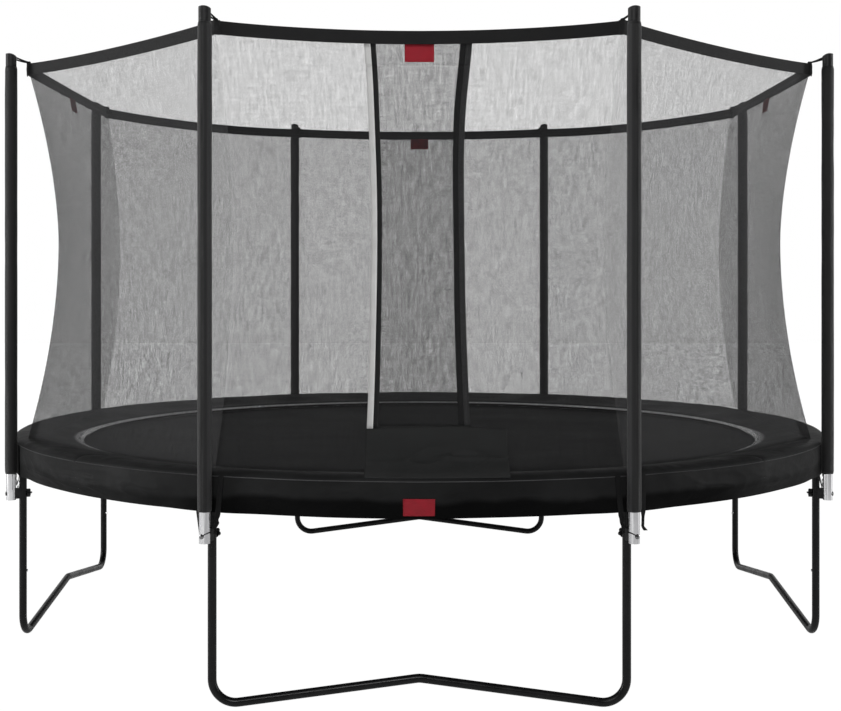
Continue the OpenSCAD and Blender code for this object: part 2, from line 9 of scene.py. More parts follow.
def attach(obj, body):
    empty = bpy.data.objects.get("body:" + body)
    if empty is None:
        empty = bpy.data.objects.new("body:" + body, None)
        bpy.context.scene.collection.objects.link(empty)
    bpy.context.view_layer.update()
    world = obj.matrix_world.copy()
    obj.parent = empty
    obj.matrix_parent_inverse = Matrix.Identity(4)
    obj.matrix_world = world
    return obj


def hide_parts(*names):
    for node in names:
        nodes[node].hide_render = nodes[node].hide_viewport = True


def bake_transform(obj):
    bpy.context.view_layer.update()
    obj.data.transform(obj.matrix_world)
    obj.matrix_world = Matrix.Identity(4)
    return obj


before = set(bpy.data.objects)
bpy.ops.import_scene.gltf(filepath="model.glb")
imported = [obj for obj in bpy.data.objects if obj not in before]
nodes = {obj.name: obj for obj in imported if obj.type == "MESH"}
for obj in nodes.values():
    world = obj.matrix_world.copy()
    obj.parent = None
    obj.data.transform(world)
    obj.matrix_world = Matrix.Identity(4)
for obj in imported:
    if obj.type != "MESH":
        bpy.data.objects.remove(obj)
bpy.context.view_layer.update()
print("frame loaded:", len(nodes), "nodes")

# Sizes that several pieces share, in metres. Posts and sides run anticlockwise from the front left.
tramp = {
    "legHalf": 23.6,       # degrees from the middle of a leg to each of its posts
    "frameR": 1.880,
    "frameH": 0.800,
    "poleAt": 1.930,
    "skirtR": 1.9024,
    "skirtFoot": 0.711,
    "padUnder": 0.8204,
    "sleeveR": 0.0264,
    "seamTurn": 0.17,      # radians from a sleeve's outer side to its seam
    "netR": 1.86,          # the net's corners at the band
}


def sideHalf(i):
    return math.radians(tramp["legHalf"] if i % 2 == 1 else 45 - tramp["legHalf"])


def sideAngle(i):
    return math.radians(-90 + 45 * (i - 1))


def postAngle(i):
    return sideAngle(i) - sideHalf(i)


def wrapPost(i):
    return (i - 1) % 8 + 1


def smooth01(t):
    # 3t^2 - 2t^3 between 0 and 1
    t = np.clip(t, 0, 1)
    return t * t * (3 - 2 * t)


def fieldNoise(x, y, seed, period=512):
    # Random values from 0 to 1 on the points of a lattice, joined by smoothstep between them. The
    # lattice repeats after period steps of x, so that it can close on itself round the middle.
    table = np.random.default_rng(seed).random((64, period))
    x0, y0 = np.floor(x).astype(int), np.floor(y).astype(int)
    fx, fy = smooth01(x - x0), smooth01(y - y0)
    xa, xb, ya, yb = x0 % period, (x0 + 1) % period, y0 % 64, (y0 + 1) % 64
    low = table[ya, xa] * (1 - fx) + table[ya, xb] * fx
    high = table[yb, xa] * (1 - fx) + table[yb, xb] * fx
    return low * (1 - fy) + high * fy


def fold(x, y, seed, period=512):
    # Creases: 1 along the lines where a random field crosses its middle, 0 away from them.
    return 1 - np.abs(2 * fieldNoise(x, y, seed, period) - 1)


def roundNoise(a, waves, y, seed):
    # The same round the middle, with a whole number of waves.
    return fieldNoise(a / (2 * np.pi) * waves, y, seed, waves)


def roundFold(a, waves, slope, y, seed):
    return fold(a / (2 * np.pi) * waves + slope, y, seed, waves)


def polar(angle, radius, height):
    # Point at an azimuth, a distance from the middle and a height.
    angle, radius, height = np.broadcast_arrays(angle, radius, height)
    return np.stack([radius * np.cos(angle), radius * np.sin(angle), height], -1)


def aboutLine(angle, outwards, along, height):
    # Point outwards from the middle on a line at an angle, along to its anticlockwise side, and up.
    c, s = math.cos(angle), math.sin(angle)
    outwards, along, height = np.broadcast_arrays(outwards, along, height)
    return np.stack([outwards * c - along * s, outwards * s + along * c, height], -1)


def sideSpace(i, outwards, along, height):
    return aboutLine(sideAngle(i), outwards, along, height)


def postSpace(i, outwards, along, height):
    return aboutLine(postAngle(i), outwards, along, height)


def unit(v):
    return v / np.maximum(np.linalg.norm(v, axis=-1, keepdims=True), 1e-12)


def lengthsAlong(path):
    # Distance from the first point of a path to each of its points.
    return np.concatenate([[0], np.cumsum(np.linalg.norm(np.diff(path, axis=0), axis=1))])


def mapOf(across, up):
    # The map's points on a grid of columns and rows.
    return np.stack(np.meshgrid(across, up), -1)


def metres(cols, rows, width, height):
    # A plain map in metres, as large as the cloth.
    return mapOf(np.linspace(0, width, cols), np.linspace(0, height, rows))


class Shape:
    # Grids of points that become one mesh.

    def __init__(self):
        self.points, self.faces, self.uvs, self.count = [], [], [], 0

    def addPoints(self, pts):
        start = self.count
        pts = np.asarray(pts, float).reshape(-1, 3)
        self.points.append(pts)
        self.count += len(pts)
        return start

    def addFaces(self, faces, uvs=None):
        # Faces with no map of their own lie at its origin.
        self.faces.append(np.asarray(faces))
        self.uvs.append(np.zeros(faces.shape + (2,)) if uvs is None else np.asarray(uvs, float))

    def grid(self, pts, uv, wrapRows=False, wrapCols=False, flip=False, caps=False):
        # Quads between neighbours on a grid of rows and columns; a wrapped way joins its last to its first.
        rows, cols = pts.shape[:2]
        start = self.addPoints(pts)
        r, c = np.meshgrid(np.arange(rows - (not wrapRows)), np.arange(cols - (not wrapCols)),
                           indexing="ij")
        r, c = r.ravel(), c.ravel()
        order = [(0, 0), (0, 1), (1, 1), (1, 0)]
        if flip:
            order = order[::-1]
        faces = np.stack([(r + dr) % rows * cols + (c + dc) % cols for dr, dc in order], -1) + start
        self.addFaces(faces, np.stack([uv[r + dr, c + dc] for dr, dc in order], 1))
        if caps:
            for row, turn in ((0, flip), (rows - 1, not flip)):
                self.fan(pts[row], start + row * cols + np.arange(cols), turn)
        return start

    def fan(self, ring, index, turn):
        # Triangles from a ring to its middle.
        middle = self.addPoints(ring.mean(0))
        nxt = np.roll(index, -1)
        tri = np.stack([index, nxt, np.full(len(index), middle)], -1)
        self.addFaces(tri if turn else tri[:, ::-1])

    def shell(self, mid, thick, uv, wrapCols=False, lift=0.0):
        # A sheet of some thickness about its middle surface: two faces and a rim.
        # Columns run anticlockwise and rows up, so that the outer face is on the side of columns x rows.
        across = np.roll(mid, -1, 1) - np.roll(mid, 1, 1) if wrapCols else np.gradient(mid, axis=1)
        n = unit(np.cross(across, np.gradient(mid, axis=0)))
        thick = np.broadcast_to(np.asarray(thick, float), mid.shape[:2])[..., None]
        lift = np.broadcast_to(np.asarray(lift, float), mid.shape[:2])[..., None]
        rows, cols = mid.shape[:2]
        outer = self.grid(mid + n * (lift + thick / 2), uv, wrapCols=wrapCols)
        inner = self.grid(mid + n * (lift - thick / 2), uv, wrapCols=wrapCols, flip=True)
        k = np.arange(cols if wrapCols else cols - 1)
        rims = [(row * cols + k, row * cols + (k + 1) % cols, uv[row, k], uv[row, k + 1], turn)
                for row, turn in ((0, False), (rows - 1, True))]
        if not wrapCols:
            k = np.arange(rows - 1)
            rims += [(k * cols + col, (k + 1) * cols + col, uv[k, col], uv[k + 1, col], turn)
                     for col, turn in ((0, False), (cols - 1, True))]
        for first, second, uvFirst, uvSecond, turn in rims:
            quad = np.stack([inner + first, inner + second, outer + second, outer + first], -1)
            self.addFaces(quad[:, ::-1] if turn else quad,
                          np.stack([uvFirst, uvSecond, uvSecond, uvFirst], 1))

    def tube(self, path, radius, sides, closed=False):
        # A round tube along a path, whose section is carried along without twist.
        ahead = np.roll(path, -1, 0) - np.roll(path, 1, 0) if closed else np.gradient(path, axis=0)
        tangent = unit(ahead)
        side = carriedSide(tangent)
        up = np.cross(tangent, side)
        a = np.linspace(0, 2 * np.pi, sides, endpoint=False)[None, :, None]
        pts = path[:, None] + radius * (np.cos(a) * side[:, None] + np.sin(a) * up[:, None])
        length = lengthsAlong(path)
        length = np.append(length, 2 * length[-1] - length[-2])
        uv = mapOf(np.linspace(0, 2 * np.pi * radius, sides + 1), length)
        self.grid(pts, uv, wrapRows=closed, wrapCols=True, caps=not closed)

    def finish(self, name, material, body=None, slot=None, sharpAngle=None):
        points = np.concatenate(self.points)
        faces, loopUv = [], []
        for f, uv in zip(self.faces, self.uvs):
            faces += f.tolist()
            loopUv.append(uv.reshape(-1, 2))
        mesh = bpy.data.meshes.new(name)
        mesh.from_pydata(points.tolist(), [], faces)
        layer = mesh.uv_layers.new(name="UVMap")
        layer.data.foreach_set("uv", np.concatenate(loopUv).astype(np.float32).ravel())
        mesh.polygons.foreach_set("use_smooth", np.ones(len(mesh.polygons), bool))
        mesh.materials.append(material)
        if sharpAngle is not None:
            mesh.set_sharp_from_angle(angle=math.radians(sharpAngle))
        mesh.update()
        piece = bpy.data.objects.new(name, mesh)
        bpy.context.scene.collection.objects.link(piece)
        if body:
            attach(piece, body)
        return piece


def carriedSide(tangent):
    # A direction square to each tangent, carried from one to the next with no twist.
    first = np.array([0.0, 0.0, 1.0]) if abs(tangent[0][2]) < 0.9 else np.array([1.0, 0.0, 0.0])
    side = [unit(np.cross(tangent[0], first))]
    for t in tangent[1:]:
        side.append(unit(side[-1] - np.dot(side[-1], t) * t))
    return np.array(side)


class Finish:
    # Builds one material's nodes from the left to the right.

    def __init__(self, name, base, rough, specular=0.5, metallic=0.0, coords="Object", sheen=0.0):
        self.material = bpy.data.materials.new(name)
        self.material.use_nodes = True
        self.tree = self.material.node_tree
        self.tree.nodes.clear()
        self.out = self.tree.nodes.new("ShaderNodeOutputMaterial")
        self.shader = self.tree.nodes.new("ShaderNodeBsdfPrincipled")
        self.link(self.shader.outputs[0], self.out.inputs["Surface"])
        self.set("Base Color", (*base, 1))
        self.set("Roughness", rough)
        self.set("Specular IOR Level", specular)
        self.set("Metallic", metallic)
        self.set("Sheen Weight", sheen)
        self.set("Sheen Roughness", 0.45)
        self.set("Coat Roughness", 0.18)
        coordinates = self.tree.nodes.new("ShaderNodeTexCoord")
        self.where = coordinates.outputs[coords]
        self.objectWhere = coordinates.outputs["Object"]
        self.bumps = None

    def set(self, socket, value):
        self.shader.inputs[socket].default_value = value

    def link(self, a, b):
        self.tree.links.new(a, b)

    def give(self, node, socket, value):
        if hasattr(value, "is_linked"):
            self.link(value, node.inputs[socket])
        else:
            node.inputs[socket].default_value = value

    def stretched(self, scale, turn=0.0):
        node = self.tree.nodes.new("ShaderNodeMapping")
        node.inputs["Scale"].default_value = scale
        node.inputs["Rotation"].default_value = (0, 0, math.radians(turn))
        self.link(self.where, node.inputs["Vector"])
        return node.outputs[0]

    def noise(self, scale, detail=2.0, rough=0.5, where=None):
        node = self.tree.nodes.new("ShaderNodeTexNoise")
        self.link(where or self.where, node.inputs["Vector"])
        node.inputs["Scale"].default_value = scale
        node.inputs["Detail"].default_value = detail
        node.inputs["Roughness"].default_value = rough
        return node.outputs["Fac"]

    def cells(self, scale, output="Distance"):
        node = self.tree.nodes.new("ShaderNodeTexVoronoi")
        self.link(self.where, node.inputs["Vector"])
        node.inputs["Scale"].default_value = scale
        return node.outputs[output]

    def math(self, kind, a, b=0.0, c=0.0):
        node = self.tree.nodes.new("ShaderNodeMath")
        node.operation = kind
        for k, v in enumerate((a, b, c)):
            self.give(node, k, v)
        return node.outputs[0]

    def split(self, where):
        node = self.tree.nodes.new("ShaderNodeSeparateXYZ")
        self.link(where, node.inputs[0])
        return node.outputs

    def ramp(self, value, low, high, toLow=0.0, toHigh=1.0, smooth=False):
        node = self.tree.nodes.new("ShaderNodeMapRange")
        node.interpolation_type = "SMOOTHSTEP" if smooth else "LINEAR"
        self.link(value, node.inputs["Value"])
        for socket, v in (("From Min", low), ("From Max", high), ("To Min", toLow), ("To Max", toHigh)):
            node.inputs[socket].default_value = v
        return node.outputs["Result"]

    def near(self, value, middle, inner, outer, inside=1.0, outside=0.0):
        # One value within the inner distance of the middle, the other beyond the outer distance
        off = self.math("ABSOLUTE", self.math("SUBTRACT", value, middle))
        return self.ramp(off, inner, outer, inside, outside, smooth=True)

    def mix(self, share, a, b):
        node = self.tree.nodes.new("ShaderNodeMix")
        node.data_type = "RGBA"
        for socket, value in ((0, share), (6, a), (7, b)):
            self.give(node, socket, (*value, 1) if isinstance(value, tuple) else value)
        return node.outputs[2]

    def colour(self, value):
        self.link(value, self.shader.inputs["Base Color"])

    def roughness(self, value):
        self.link(value, self.shader.inputs["Roughness"])

    def bump(self, height, distance, strength=1.0):
        # Each bump is laid on the one before it.
        node = self.tree.nodes.new("ShaderNodeBump")
        node.inputs["Strength"].default_value = strength
        node.inputs["Distance"].default_value = distance
        self.link(height, node.inputs["Height"])
        if self.bumps is not None:
            self.link(self.bumps, node.inputs["Normal"])
        self.bumps = node.outputs[0]
        self.link(self.bumps, self.shader.inputs["Normal"])


def powderCoat():
    # Black powder coat: a fine orange peel, a few duller rubs
    f = Finish("blackPowderCoat", (0.008, 0.008, 0.0085), 0.3, 0.22)
    peel = f.noise(900, 2)
    rub = f.ramp(f.noise(14, 4, 0.6), 0.45, 0.7)
    f.colour(f.mix(rub, (0.0065, 0.0066, 0.007), (0.012, 0.012, 0.0125)))
    f.roughness(f.math("MULTIPLY_ADD", rub, 0.16, 0.26))
    f.bump(peel, 0.0001, 0.4)
    return f.material


def zincCoat(name, dark, light):
    # Galvanised steel: spangle, streaks along the tube, a dull bloom
    f = Finish(name, (0.7, 0.71, 0.73), 0.2, 0.5, metallic=1.0)
    spangle = f.cells(120, output="Color")
    streak = f.noise(90, 3, 0.6, f.stretched((1.0, 1.0, 0.02)))
    bloom = f.ramp(f.noise(40, 3, 0.6), 0.4, 0.7)
    grey = f.mix(f.ramp(streak, 0.38, 0.62), (dark, dark, dark * 1.03), (light, light, light * 1.01))
    middle = (dark + light) * 0.46
    f.colour(f.mix(f.math("MULTIPLY", bloom, 0.25), grey, (middle, middle, middle * 1.02)))
    f.roughness(f.ramp(f.split(spangle)[0], 0.0, 1.0, 0.10, 0.18))
    f.bump(streak, 0.0002, 0.3)
    return f.material


def blackPlastic():
    # Moulded plastic: a fine grain, a little paler and duller where it is handled
    f = Finish("mouldedBlackPlastic", (0.011, 0.011, 0.012), 0.5, 0.3)
    grain = f.noise(1500, 2)
    wear = f.ramp(f.noise(60, 3), 0.5, 0.75)
    f.colour(f.mix(wear, (0.009, 0.009, 0.0095), (0.018, 0.018, 0.019)))
    f.roughness(f.ramp(wear, 0, 1, 0.46, 0.6))
    f.bump(grain, 0.0002, 0.6)
    return f.material


def wovenCloth(name, dark, light, rough, specular, pitch, depth, sheen=0.0, blotch=3.0, tint=None):
    # Plain weave on the piece's own map in metres: two sets of threads, a broad change of tone, and a
    # tint by place if there is one
    f = Finish(name, dark, rough, specular, coords="UV", sheen=sheen)
    u, v, _ = f.split(f.where)
    over = f.math("SINE", f.math("MULTIPLY", u, 2 * math.pi / pitch))
    under = f.math("SINE", f.math("MULTIPLY", v, 2 * math.pi / pitch))
    weave = f.math("MULTIPLY", over, under)
    tone = f.noise(blotch, 4, 0.6, f.objectWhere)
    fibre = f.noise(1.2 / pitch, 2, 0.6)
    share = f.math("ADD", f.ramp(tone, 0.35, 0.65, 0.0, 0.6), f.ramp(fibre, 0.3, 0.7, 0.0, 0.4))
    plain = f.mix(share, dark, light)
    f.colour(tint(f, u, plain) if tint else plain)
    f.roughness(f.ramp(tone, 0.3, 0.7, rough - 0.05, rough + 0.08))
    f.bump(weave, depth, 0.7)
    f.bump(f.noise(30, 3, 0.5, f.objectWhere), 0.0015, 0.25)
    return f.material


# Painted light and shade on the sleeves: a pale band on the side that faces the leg, and a dark line in the
# seam
sleevePaintedShading = {
    "paintedLightTurn": 1.35, "paintedLightWide": (0.30, 0.60), "paintedLight": (0.030, 0.030, 0.031),
    "seamWide": (0.03, 0.15), "seam": (0.004, 0.004, 0.0041),
}


def paintSleeveShading(f, u, plain):
    # Round the sleeve from its outer side: painted shade, darkest in the sunk seam, and painted light, palest
    # on the side nearest its leg
    look = sleevePaintedShading
    turn = f.math("MULTIPLY", u, 1 / tramp["sleeveR"])
    paintedLight = f.near(turn, look["paintedLightTurn"], *look["paintedLightWide"])
    seam = f.near(turn, tramp["seamTurn"], *look["seamWide"])
    return f.mix(seam, f.mix(paintedLight, plain, look["paintedLight"]), look["seam"])


weltHighlightLook = {"highlightWide": (0.66, 0.92), "dull": (0.015, 0.015, 0.0155)}


def paintWeltHighlight(f, u, plain):
    # A painted highlight along the welt: pale at the front and the back, dull as the pad beyond the front and
    # back posts
    dull = f.near(f.split(f.objectWhere)[0], 0.0, *weltHighlightLook["highlightWide"], 0.0, 1.0)
    return f.mix(dull, plain, weltHighlightLook["dull"])


# Ranges of a place are given as where a change begins and ends, with its two values after them
# The pale colour on the pad's inner edge is a painted highlight, and the darkening of the skirt below the
# given heights is painted shade
vinylLook = {
    "dark": (0.0102, 0.0104, 0.0106), "light": (0.0194, 0.0196, 0.0199), "edgeHighlight": (0.86, 0.865, 0.87),
    "edgeHighlightR": 1.604, "edgeHighlightWide": (-0.42, 0.25, 0.043, 0.005), "edgeHighlightFront": (-1.0, -0.72),
    "edgeHighlightMiddle": (0.2, 1.2, 0.5, 1.0), "lip": (0.8170, 0.8215), "lipLower": (-0.45, 0.10, 0.02, 0.0),
    "shadeHeights": (0.795, 0.822, 1.0, 0.0), "shadeWaves": 0.075, "shadeMiddle": 0.17,
    "shadeWide": (0.95, 1.12, 0.70, 0.38),
}


def padVinyl():
    # Coated cloth: a fine grain, soft creases, a few paler scuffs; a painted highlight, pale, glossier and
    # smoother, on the foam's inner edge, and painted shade below a wavy line on the skirt, most across the
    # front and back
    look = vinylLook
    f = Finish("padVinyl", (0.008, 0.008, 0.0082), 0.4, 0.15)
    grain = f.cells(900)
    crease = f.noise(9, 5, 0.62)
    tone = f.ramp(f.noise(2.3, 4, 0.6), 0.35, 0.68)
    dull = f.mix(tone, look["dark"], look["light"])
    rough = f.ramp(f.noise(5, 4, 0.6), 0.3, 0.7, 0.50, 0.64)
    x, y, z = f.split(f.where)
    radius = f.math("SQRT", f.math("ADD", f.math("MULTIPLY", x, x), f.math("MULTIPLY", y, y)))
    # A painted highlight on the inner edge, with tight as its share: pale, glossier, coated and part metal,
    # fading outwards over a width that narrows towards the back, cut off low on the lip, gone at the front
    # and half as strong across the middle
    wide = f.ramp(y, *look["edgeHighlightWide"], smooth=True)
    inwards = f.math("DIVIDE", f.math("SUBTRACT", radius, look["edgeHighlightR"]), wide)
    lip = f.ramp(f.math("ADD", z, f.ramp(y, *look["lipLower"])), *look["lip"], smooth=True)
    tight = f.ramp(inwards, 0.0, 1.0, 1.0, 0.0, smooth=True)
    for share in (lip, f.ramp(y, *look["edgeHighlightFront"], smooth=True), f.near(x, 0.0, *look["edgeHighlightMiddle"])):
        tight = f.math("MULTIPLY", tight, share)
    # Painted shade on the skirt: below a wavy height the colour is drawn towards black and the gloss lowered,
    # more across the front and back than at the sides
    wavy = f.math("MULTIPLY_ADD", f.noise(3.2, 3, 0.55), look["shadeWaves"], z)
    paintedShade = f.ramp(wavy, *look["shadeHeights"], smooth=True)
    shadeStrength = f.near(x, look["shadeMiddle"], *look["shadeWide"])
    unshaded = f.math("SUBTRACT", 1.0, f.math("MULTIPLY", paintedShade, shadeStrength))
    dull = f.mix(unshaded, (0.0, 0.0, 0.0), dull)
    f.colour(f.mix(tight, dull, look["edgeHighlight"]))
    gloss = f.ramp(unshaded, 0.22, 1.0, 0.02, 0.07)
    f.link(f.math("MULTIPLY_ADD", tight, 0.55, gloss), f.shader.inputs["Specular IOR Level"])
    f.roughness(f.math("MULTIPLY_ADD", tight, -0.36, rough))
    f.link(tight, f.shader.inputs["Coat Weight"])
    f.link(f.math("MULTIPLY", tight, 0.45), f.shader.inputs["Metallic"])
    f.bump(grain, 0.0002, 0.3)
    f.bump(f.math("MULTIPLY", crease, f.math("SUBTRACT", 1.0, tight)), 0.012, 0.3)
    return f.material


knit = {
    "pitch": 0.0030, "stray": 2.6, "threads": (("ADD", 38), ("SUBTRACT", 47)),
    "tight": (((105.0, 15.0, 1.0), 0.055), ((15.0, 115.0, 1.0), 0.035)),
}


def netMesh(name, thread, turn, tone):
    # Knitted mesh on the piece's map in metres: two slanting sets of threads with open diamonds between.
    # The threads stray a little, and along columns and rows the knit is a little tighter or looser.
    f = Finish(name, (0.011, 0.011, 0.0115), 0.6, 0.2, coords="UV")
    u, v, _ = f.split(f.stretched((1.0, 1.0, 1.0), turn))
    tight = [f.ramp(f.noise(1.0, 2, 0.6, f.stretched(scale)), 0.3, 0.7, -by, by)
             for scale, by in knit["tight"]]
    width = f.math("ADD", f.math("ADD", *tight), thread)
    covered = []
    for slant, scale in knit["threads"]:
        stray = f.math("MULTIPLY", f.noise(scale, 1), knit["stray"])
        place = f.math("MULTIPLY_ADD", f.math(slant, u, v), 1 / knit["pitch"], stray)
        covered.append(f.math("LESS_THAN", f.math("FRACT", place), width))
    f.link(f.math("MAXIMUM", *covered), f.shader.inputs["Alpha"])
    f.colour(f.mix(f.noise(900, 2), (0.6 * tone, 0.6 * tone, 0.62 * tone), (tone, tone, 1.04 * tone)))
    return f.material


def woundWire():
    # Bright zinc on spring wire, a little darker and lighter in patches
    f = Finish("springWire", (0.5, 0.51, 0.53), 0.3, metallic=0.9)
    tone = f.noise(70, 3)
    f.colour(f.mix(f.ramp(tone, 0.3, 0.7), (0.4, 0.41, 0.43), (0.68, 0.69, 0.71)))
    f.roughness(f.ramp(tone, 0.3, 0.7, 0.22, 0.42))
    f.bump(f.noise(600, 2), 0.0002, 0.4)
    return f.material


finishes = {
    "powder": powderCoat(),
    "zinc": zincCoat("galvanisedSteel", 0.50, 0.95),
    "bolt": zincCoat("platedBolt", 0.14, 0.32),
    "plastic": blackPlastic(),
    "wire": woundWire(),
    "vinyl": padVinyl(),
    # The piping's pale tone is a painted highlight on the welt
    "piping": wovenCloth("paddingPiping", (0.050, 0.050, 0.052), (0.075, 0.075, 0.077), 0.4, 0.3,
                         0.0012, 0.0002, blotch=14.0, tint=paintWeltHighlight),
    # One net with a thread tone for each place, set by how brightly it is lit: painted light, with the side
    # and back panels paler than the front
    "netFront": netMesh("netMeshFront", 0.230, 0.0, 0.029),
    "netInner": netMesh("netMeshInner", 0.232, 40.0, 0.033),
    "netSide": netMesh("netMeshSide", 0.230, 0.0, 0.048),
    "netBack": netMesh("netMeshBack", 0.230, 20.0, 0.043),
    "sleeve": wovenCloth("sleeveCloth", (0.008, 0.008, 0.0083), (0.013, 0.013, 0.0134), 0.48, 0.3,
                         0.0012, 0.0002, sheen=0.14, blotch=6.0, tint=paintSleeveShading),
    "mat": wovenCloth("matCloth", (0.0045, 0.0045, 0.0047), (0.0075, 0.0075, 0.0078), 0.68, 0.08,
                      0.0025, 0.0003, blotch=2.0),
    "webbing": wovenCloth("webbing", (0.006, 0.006, 0.0063), (0.012, 0.012, 0.0124), 0.6, 0.2,
                          0.003, 0.0005, blotch=12.0),
    "band": wovenCloth("bandCloth", (0.009, 0.009, 0.0094), (0.0155, 0.0155, 0.016), 0.62, 0.22,
                       0.0016, 0.0003, sheen=0.04, blotch=5.0),
    "threshold": wovenCloth("thresholdCloth", (0.019, 0.0195, 0.0195), (0.030, 0.0308, 0.0308), 0.66, 0.25,
                            0.0016, 0.0003, blotch=7.0),
    "white": wovenCloth("whiteBinding", (0.66, 0.66, 0.65), (0.80, 0.80, 0.79), 0.6, 0.3,
                        0.0016, 0.0003, blotch=15.0),
    "grey": wovenCloth("greyBinding", (0.070, 0.070, 0.072), (0.092, 0.092, 0.094), 0.6, 0.3,
                       0.0016, 0.0003, blotch=15.0),
    "black": wovenCloth("blackBinding", (0.007, 0.007, 0.0073), (0.012, 0.012, 0.0125), 0.6, 0.25,
                        0.0016, 0.0003, blotch=15.0),
    "red": wovenCloth("redTag", (0.30, 0.007, 0.018), (0.38, 0.010, 0.024), 0.55, 0.3,
                      0.0012, 0.0002, blotch=25.0),
}
print("finishes made:", len(finishes))

posts = range(1, 9)
legs = range(1, 5)


def numbered(name, numbers=posts):
    return [f"{name}_{i}" for i in numbers]


# CAD nodes that stay, with their finishes
keptNodes = {
    "powder": ["frame_tees"] + numbered("frame_rail") + numbered("leg_upright") + numbered("leg_base", legs),
    "zinc": numbered("pole") + ["assembly_screws"],
    "plastic": ["pole_caps", "pole_saddles", "clamp_knobs"],
    "bolt": ["clamp_bolts"],
    "wire": ["mat_rings"],
}
for finish, names in keptNodes.items():
    for name in names:
        slots = nodes[name].material_slots
        for k in range(len(slots)):
            slots[k].material = finishes[finish]
        if not slots:
            nodes[name].data.materials.append(finishes[finish])
print("frame, legs, poles and fastenings finished")

# Pole sleeves: foam under a sewn cover
sleeve = {
    "foot": 0.716, "top": 2.4775, "innerR": 0.0203, "slack": 0.0004, "uneven": 0.0016, "gather": 0.0012,
    "turnIn": 0.0022, "hemTall": 0.012, "seamDepth": 0.0012, "seamWide": 0.12, "rows": 150, "cols": 56,
}


def makeSleeve(i):
    # Radius over height and turn: the outer radius, less a slow unevenness and a sunk seam down the
    # outer side, drawn in at both ends where the cover is gathered. The turn runs towards the leg.
    s, sleeveR = sleeve, tramp["sleeveR"]
    toLeg = 1 if i % 2 == 1 else -1
    z = np.linspace(s["foot"], s["top"], s["rows"])[:, None]
    a = np.linspace(0, 2 * np.pi, s["cols"], endpoint=False)[None]
    uneven = (fieldNoise(z * 9 + 7 * i, 3 * np.sin(a) + 3 + 0 * z, 20 + i) - 0.5) * s["uneven"]
    gather = (fieldNoise(a * 5 / np.pi, z * 60, 50 + i) - 0.5) * s["gather"]
    toEnd = np.minimum(z - s["foot"], s["top"] - z)
    turnIn = s["turnIn"] * (1 - smooth01(toEnd / s["hemTall"]))
    seamTurn = np.angle(np.exp(1j * (toLeg * a - tramp["seamTurn"])))
    seam = s["seamDepth"] * np.exp(-(seamTurn / s["seamWide"]) ** 2)
    r = sleeveR - s["slack"] + uneven + gather * np.exp(-toEnd / 0.05) - seam - turnIn
    r = np.minimum(r, sleeveR)
    outer = postSpace(i, tramp["poleAt"] + r * np.cos(a), r * np.sin(a), z + 0 * a)
    inner = postSpace(i, tramp["poleAt"] + s["innerR"] * np.cos(a), s["innerR"] * np.sin(a), z + 0 * a)
    length = np.concatenate([z[:, 0], z[::-1, 0], z[0]])
    girth = np.linspace(0, 2 * np.pi * sleeveR, s["cols"] + 1)[::toLeg]
    shape = Shape()
    shape.grid(np.concatenate([outer, inner[::-1]]), mapOf(girth, length), wrapRows=True, wrapCols=True)
    piece = shape.finish(f"poleSleeve_{i}", finishes["sleeve"], "frame", "sleeve_cloth")
    return piece


sleeves = [makeSleeve(i) for i in posts]
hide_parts("pole_sleeves")
print("pole sleeves made")

# Springs: a coil, an eye on the mat ring and a hook in the rail
spring = {
    "perRail": 10, "perPiece": 5, "wireR": 0.0016, "coilR": 0.0094, "turns": 33, "stepsPerTurn": 9,
    "sides": 5, "eyeAt": 1.6831, "eyeR": 0.0065, "hookAt": 1.8690, "hookR": 0.0035,
    "lead": 0.009, "tail": 0.017, "taper": 0.010,
}


def springAngle(i, k):
    # Azimuth of a side's spring.
    return sideAngle(i) + (2 * (k + 0.5) / spring["perRail"] - 1) * sideHalf(i)


def springLine():
    # Along the spring's own line: an eye, a helix whose radius swells from and back to the wire, a hook.
    s = spring
    eye = np.linspace(math.radians(50), math.radians(360), 16)
    eyePts = np.stack([s["eyeAt"] + s["eyeR"] * np.cos(eye), 0 * eye, s["eyeR"] * np.sin(eye)], -1)
    start = s["eyeAt"] + s["eyeR"] + s["lead"]
    end = s["hookAt"] - s["hookR"]
    span = end - s["tail"] - start
    t = np.linspace(0, 1, s["turns"] * s["stepsPerTurn"] + 1)
    x = start + span * t
    swell = smooth01(t * span / s["taper"]) * smooth01((1 - t) * span / s["taper"])
    a = 2 * np.pi * s["turns"] * t
    coil = np.stack([x, s["coilR"] * swell * np.sin(a), s["coilR"] * swell * np.cos(a)], -1)
    bend = np.linspace(-np.pi / 2, 0, 6)
    hook = np.stack([end + s["hookR"] * np.cos(bend), 0 * bend, s["hookR"] + s["hookR"] * np.sin(bend)], -1)
    tip = np.array([[s["hookAt"], 0, s["hookR"] + 0.002]])
    return np.concatenate([eyePts, coil, hook, tip])


def turned(points, angle):
    c, s = math.cos(angle), math.sin(angle)
    return points @ np.array([[c, s, 0], [-s, c, 0], [0, 0, 1.0]])


up = np.array([0, 0, tramp["frameH"]])
springPath = springLine() + up
for i in posts:
    for half in range(spring["perRail"] // spring["perPiece"]):
        shape = Shape()
        turns = [springAngle(i, half * spring["perPiece"] + k) for k in range(spring["perPiece"])]
        for a in turns:
            shape.tube(turned(springPath, a), spring["wireR"], spring["sides"])
        piece = shape.finish(f"springs_{i}_{half + 1}", finishes["wire"], slot="zinc")
        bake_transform(piece)
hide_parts("springs")

# Jumping mat: a stretched round cloth, its webbing and the loops for the rings
mat = {
    "radius": 1.640, "thick": 0.002, "rings": 40, "cols": 192,
    "webInner": 1.602, "webOuter": 1.646, "webThick": 0.007, "webCols": 288,
    "loopWide": 0.020, "loopFoot": 1.634, "loopOut": 1.6525, "loopR": 0.0055, "loopThick": 0.0016,
}


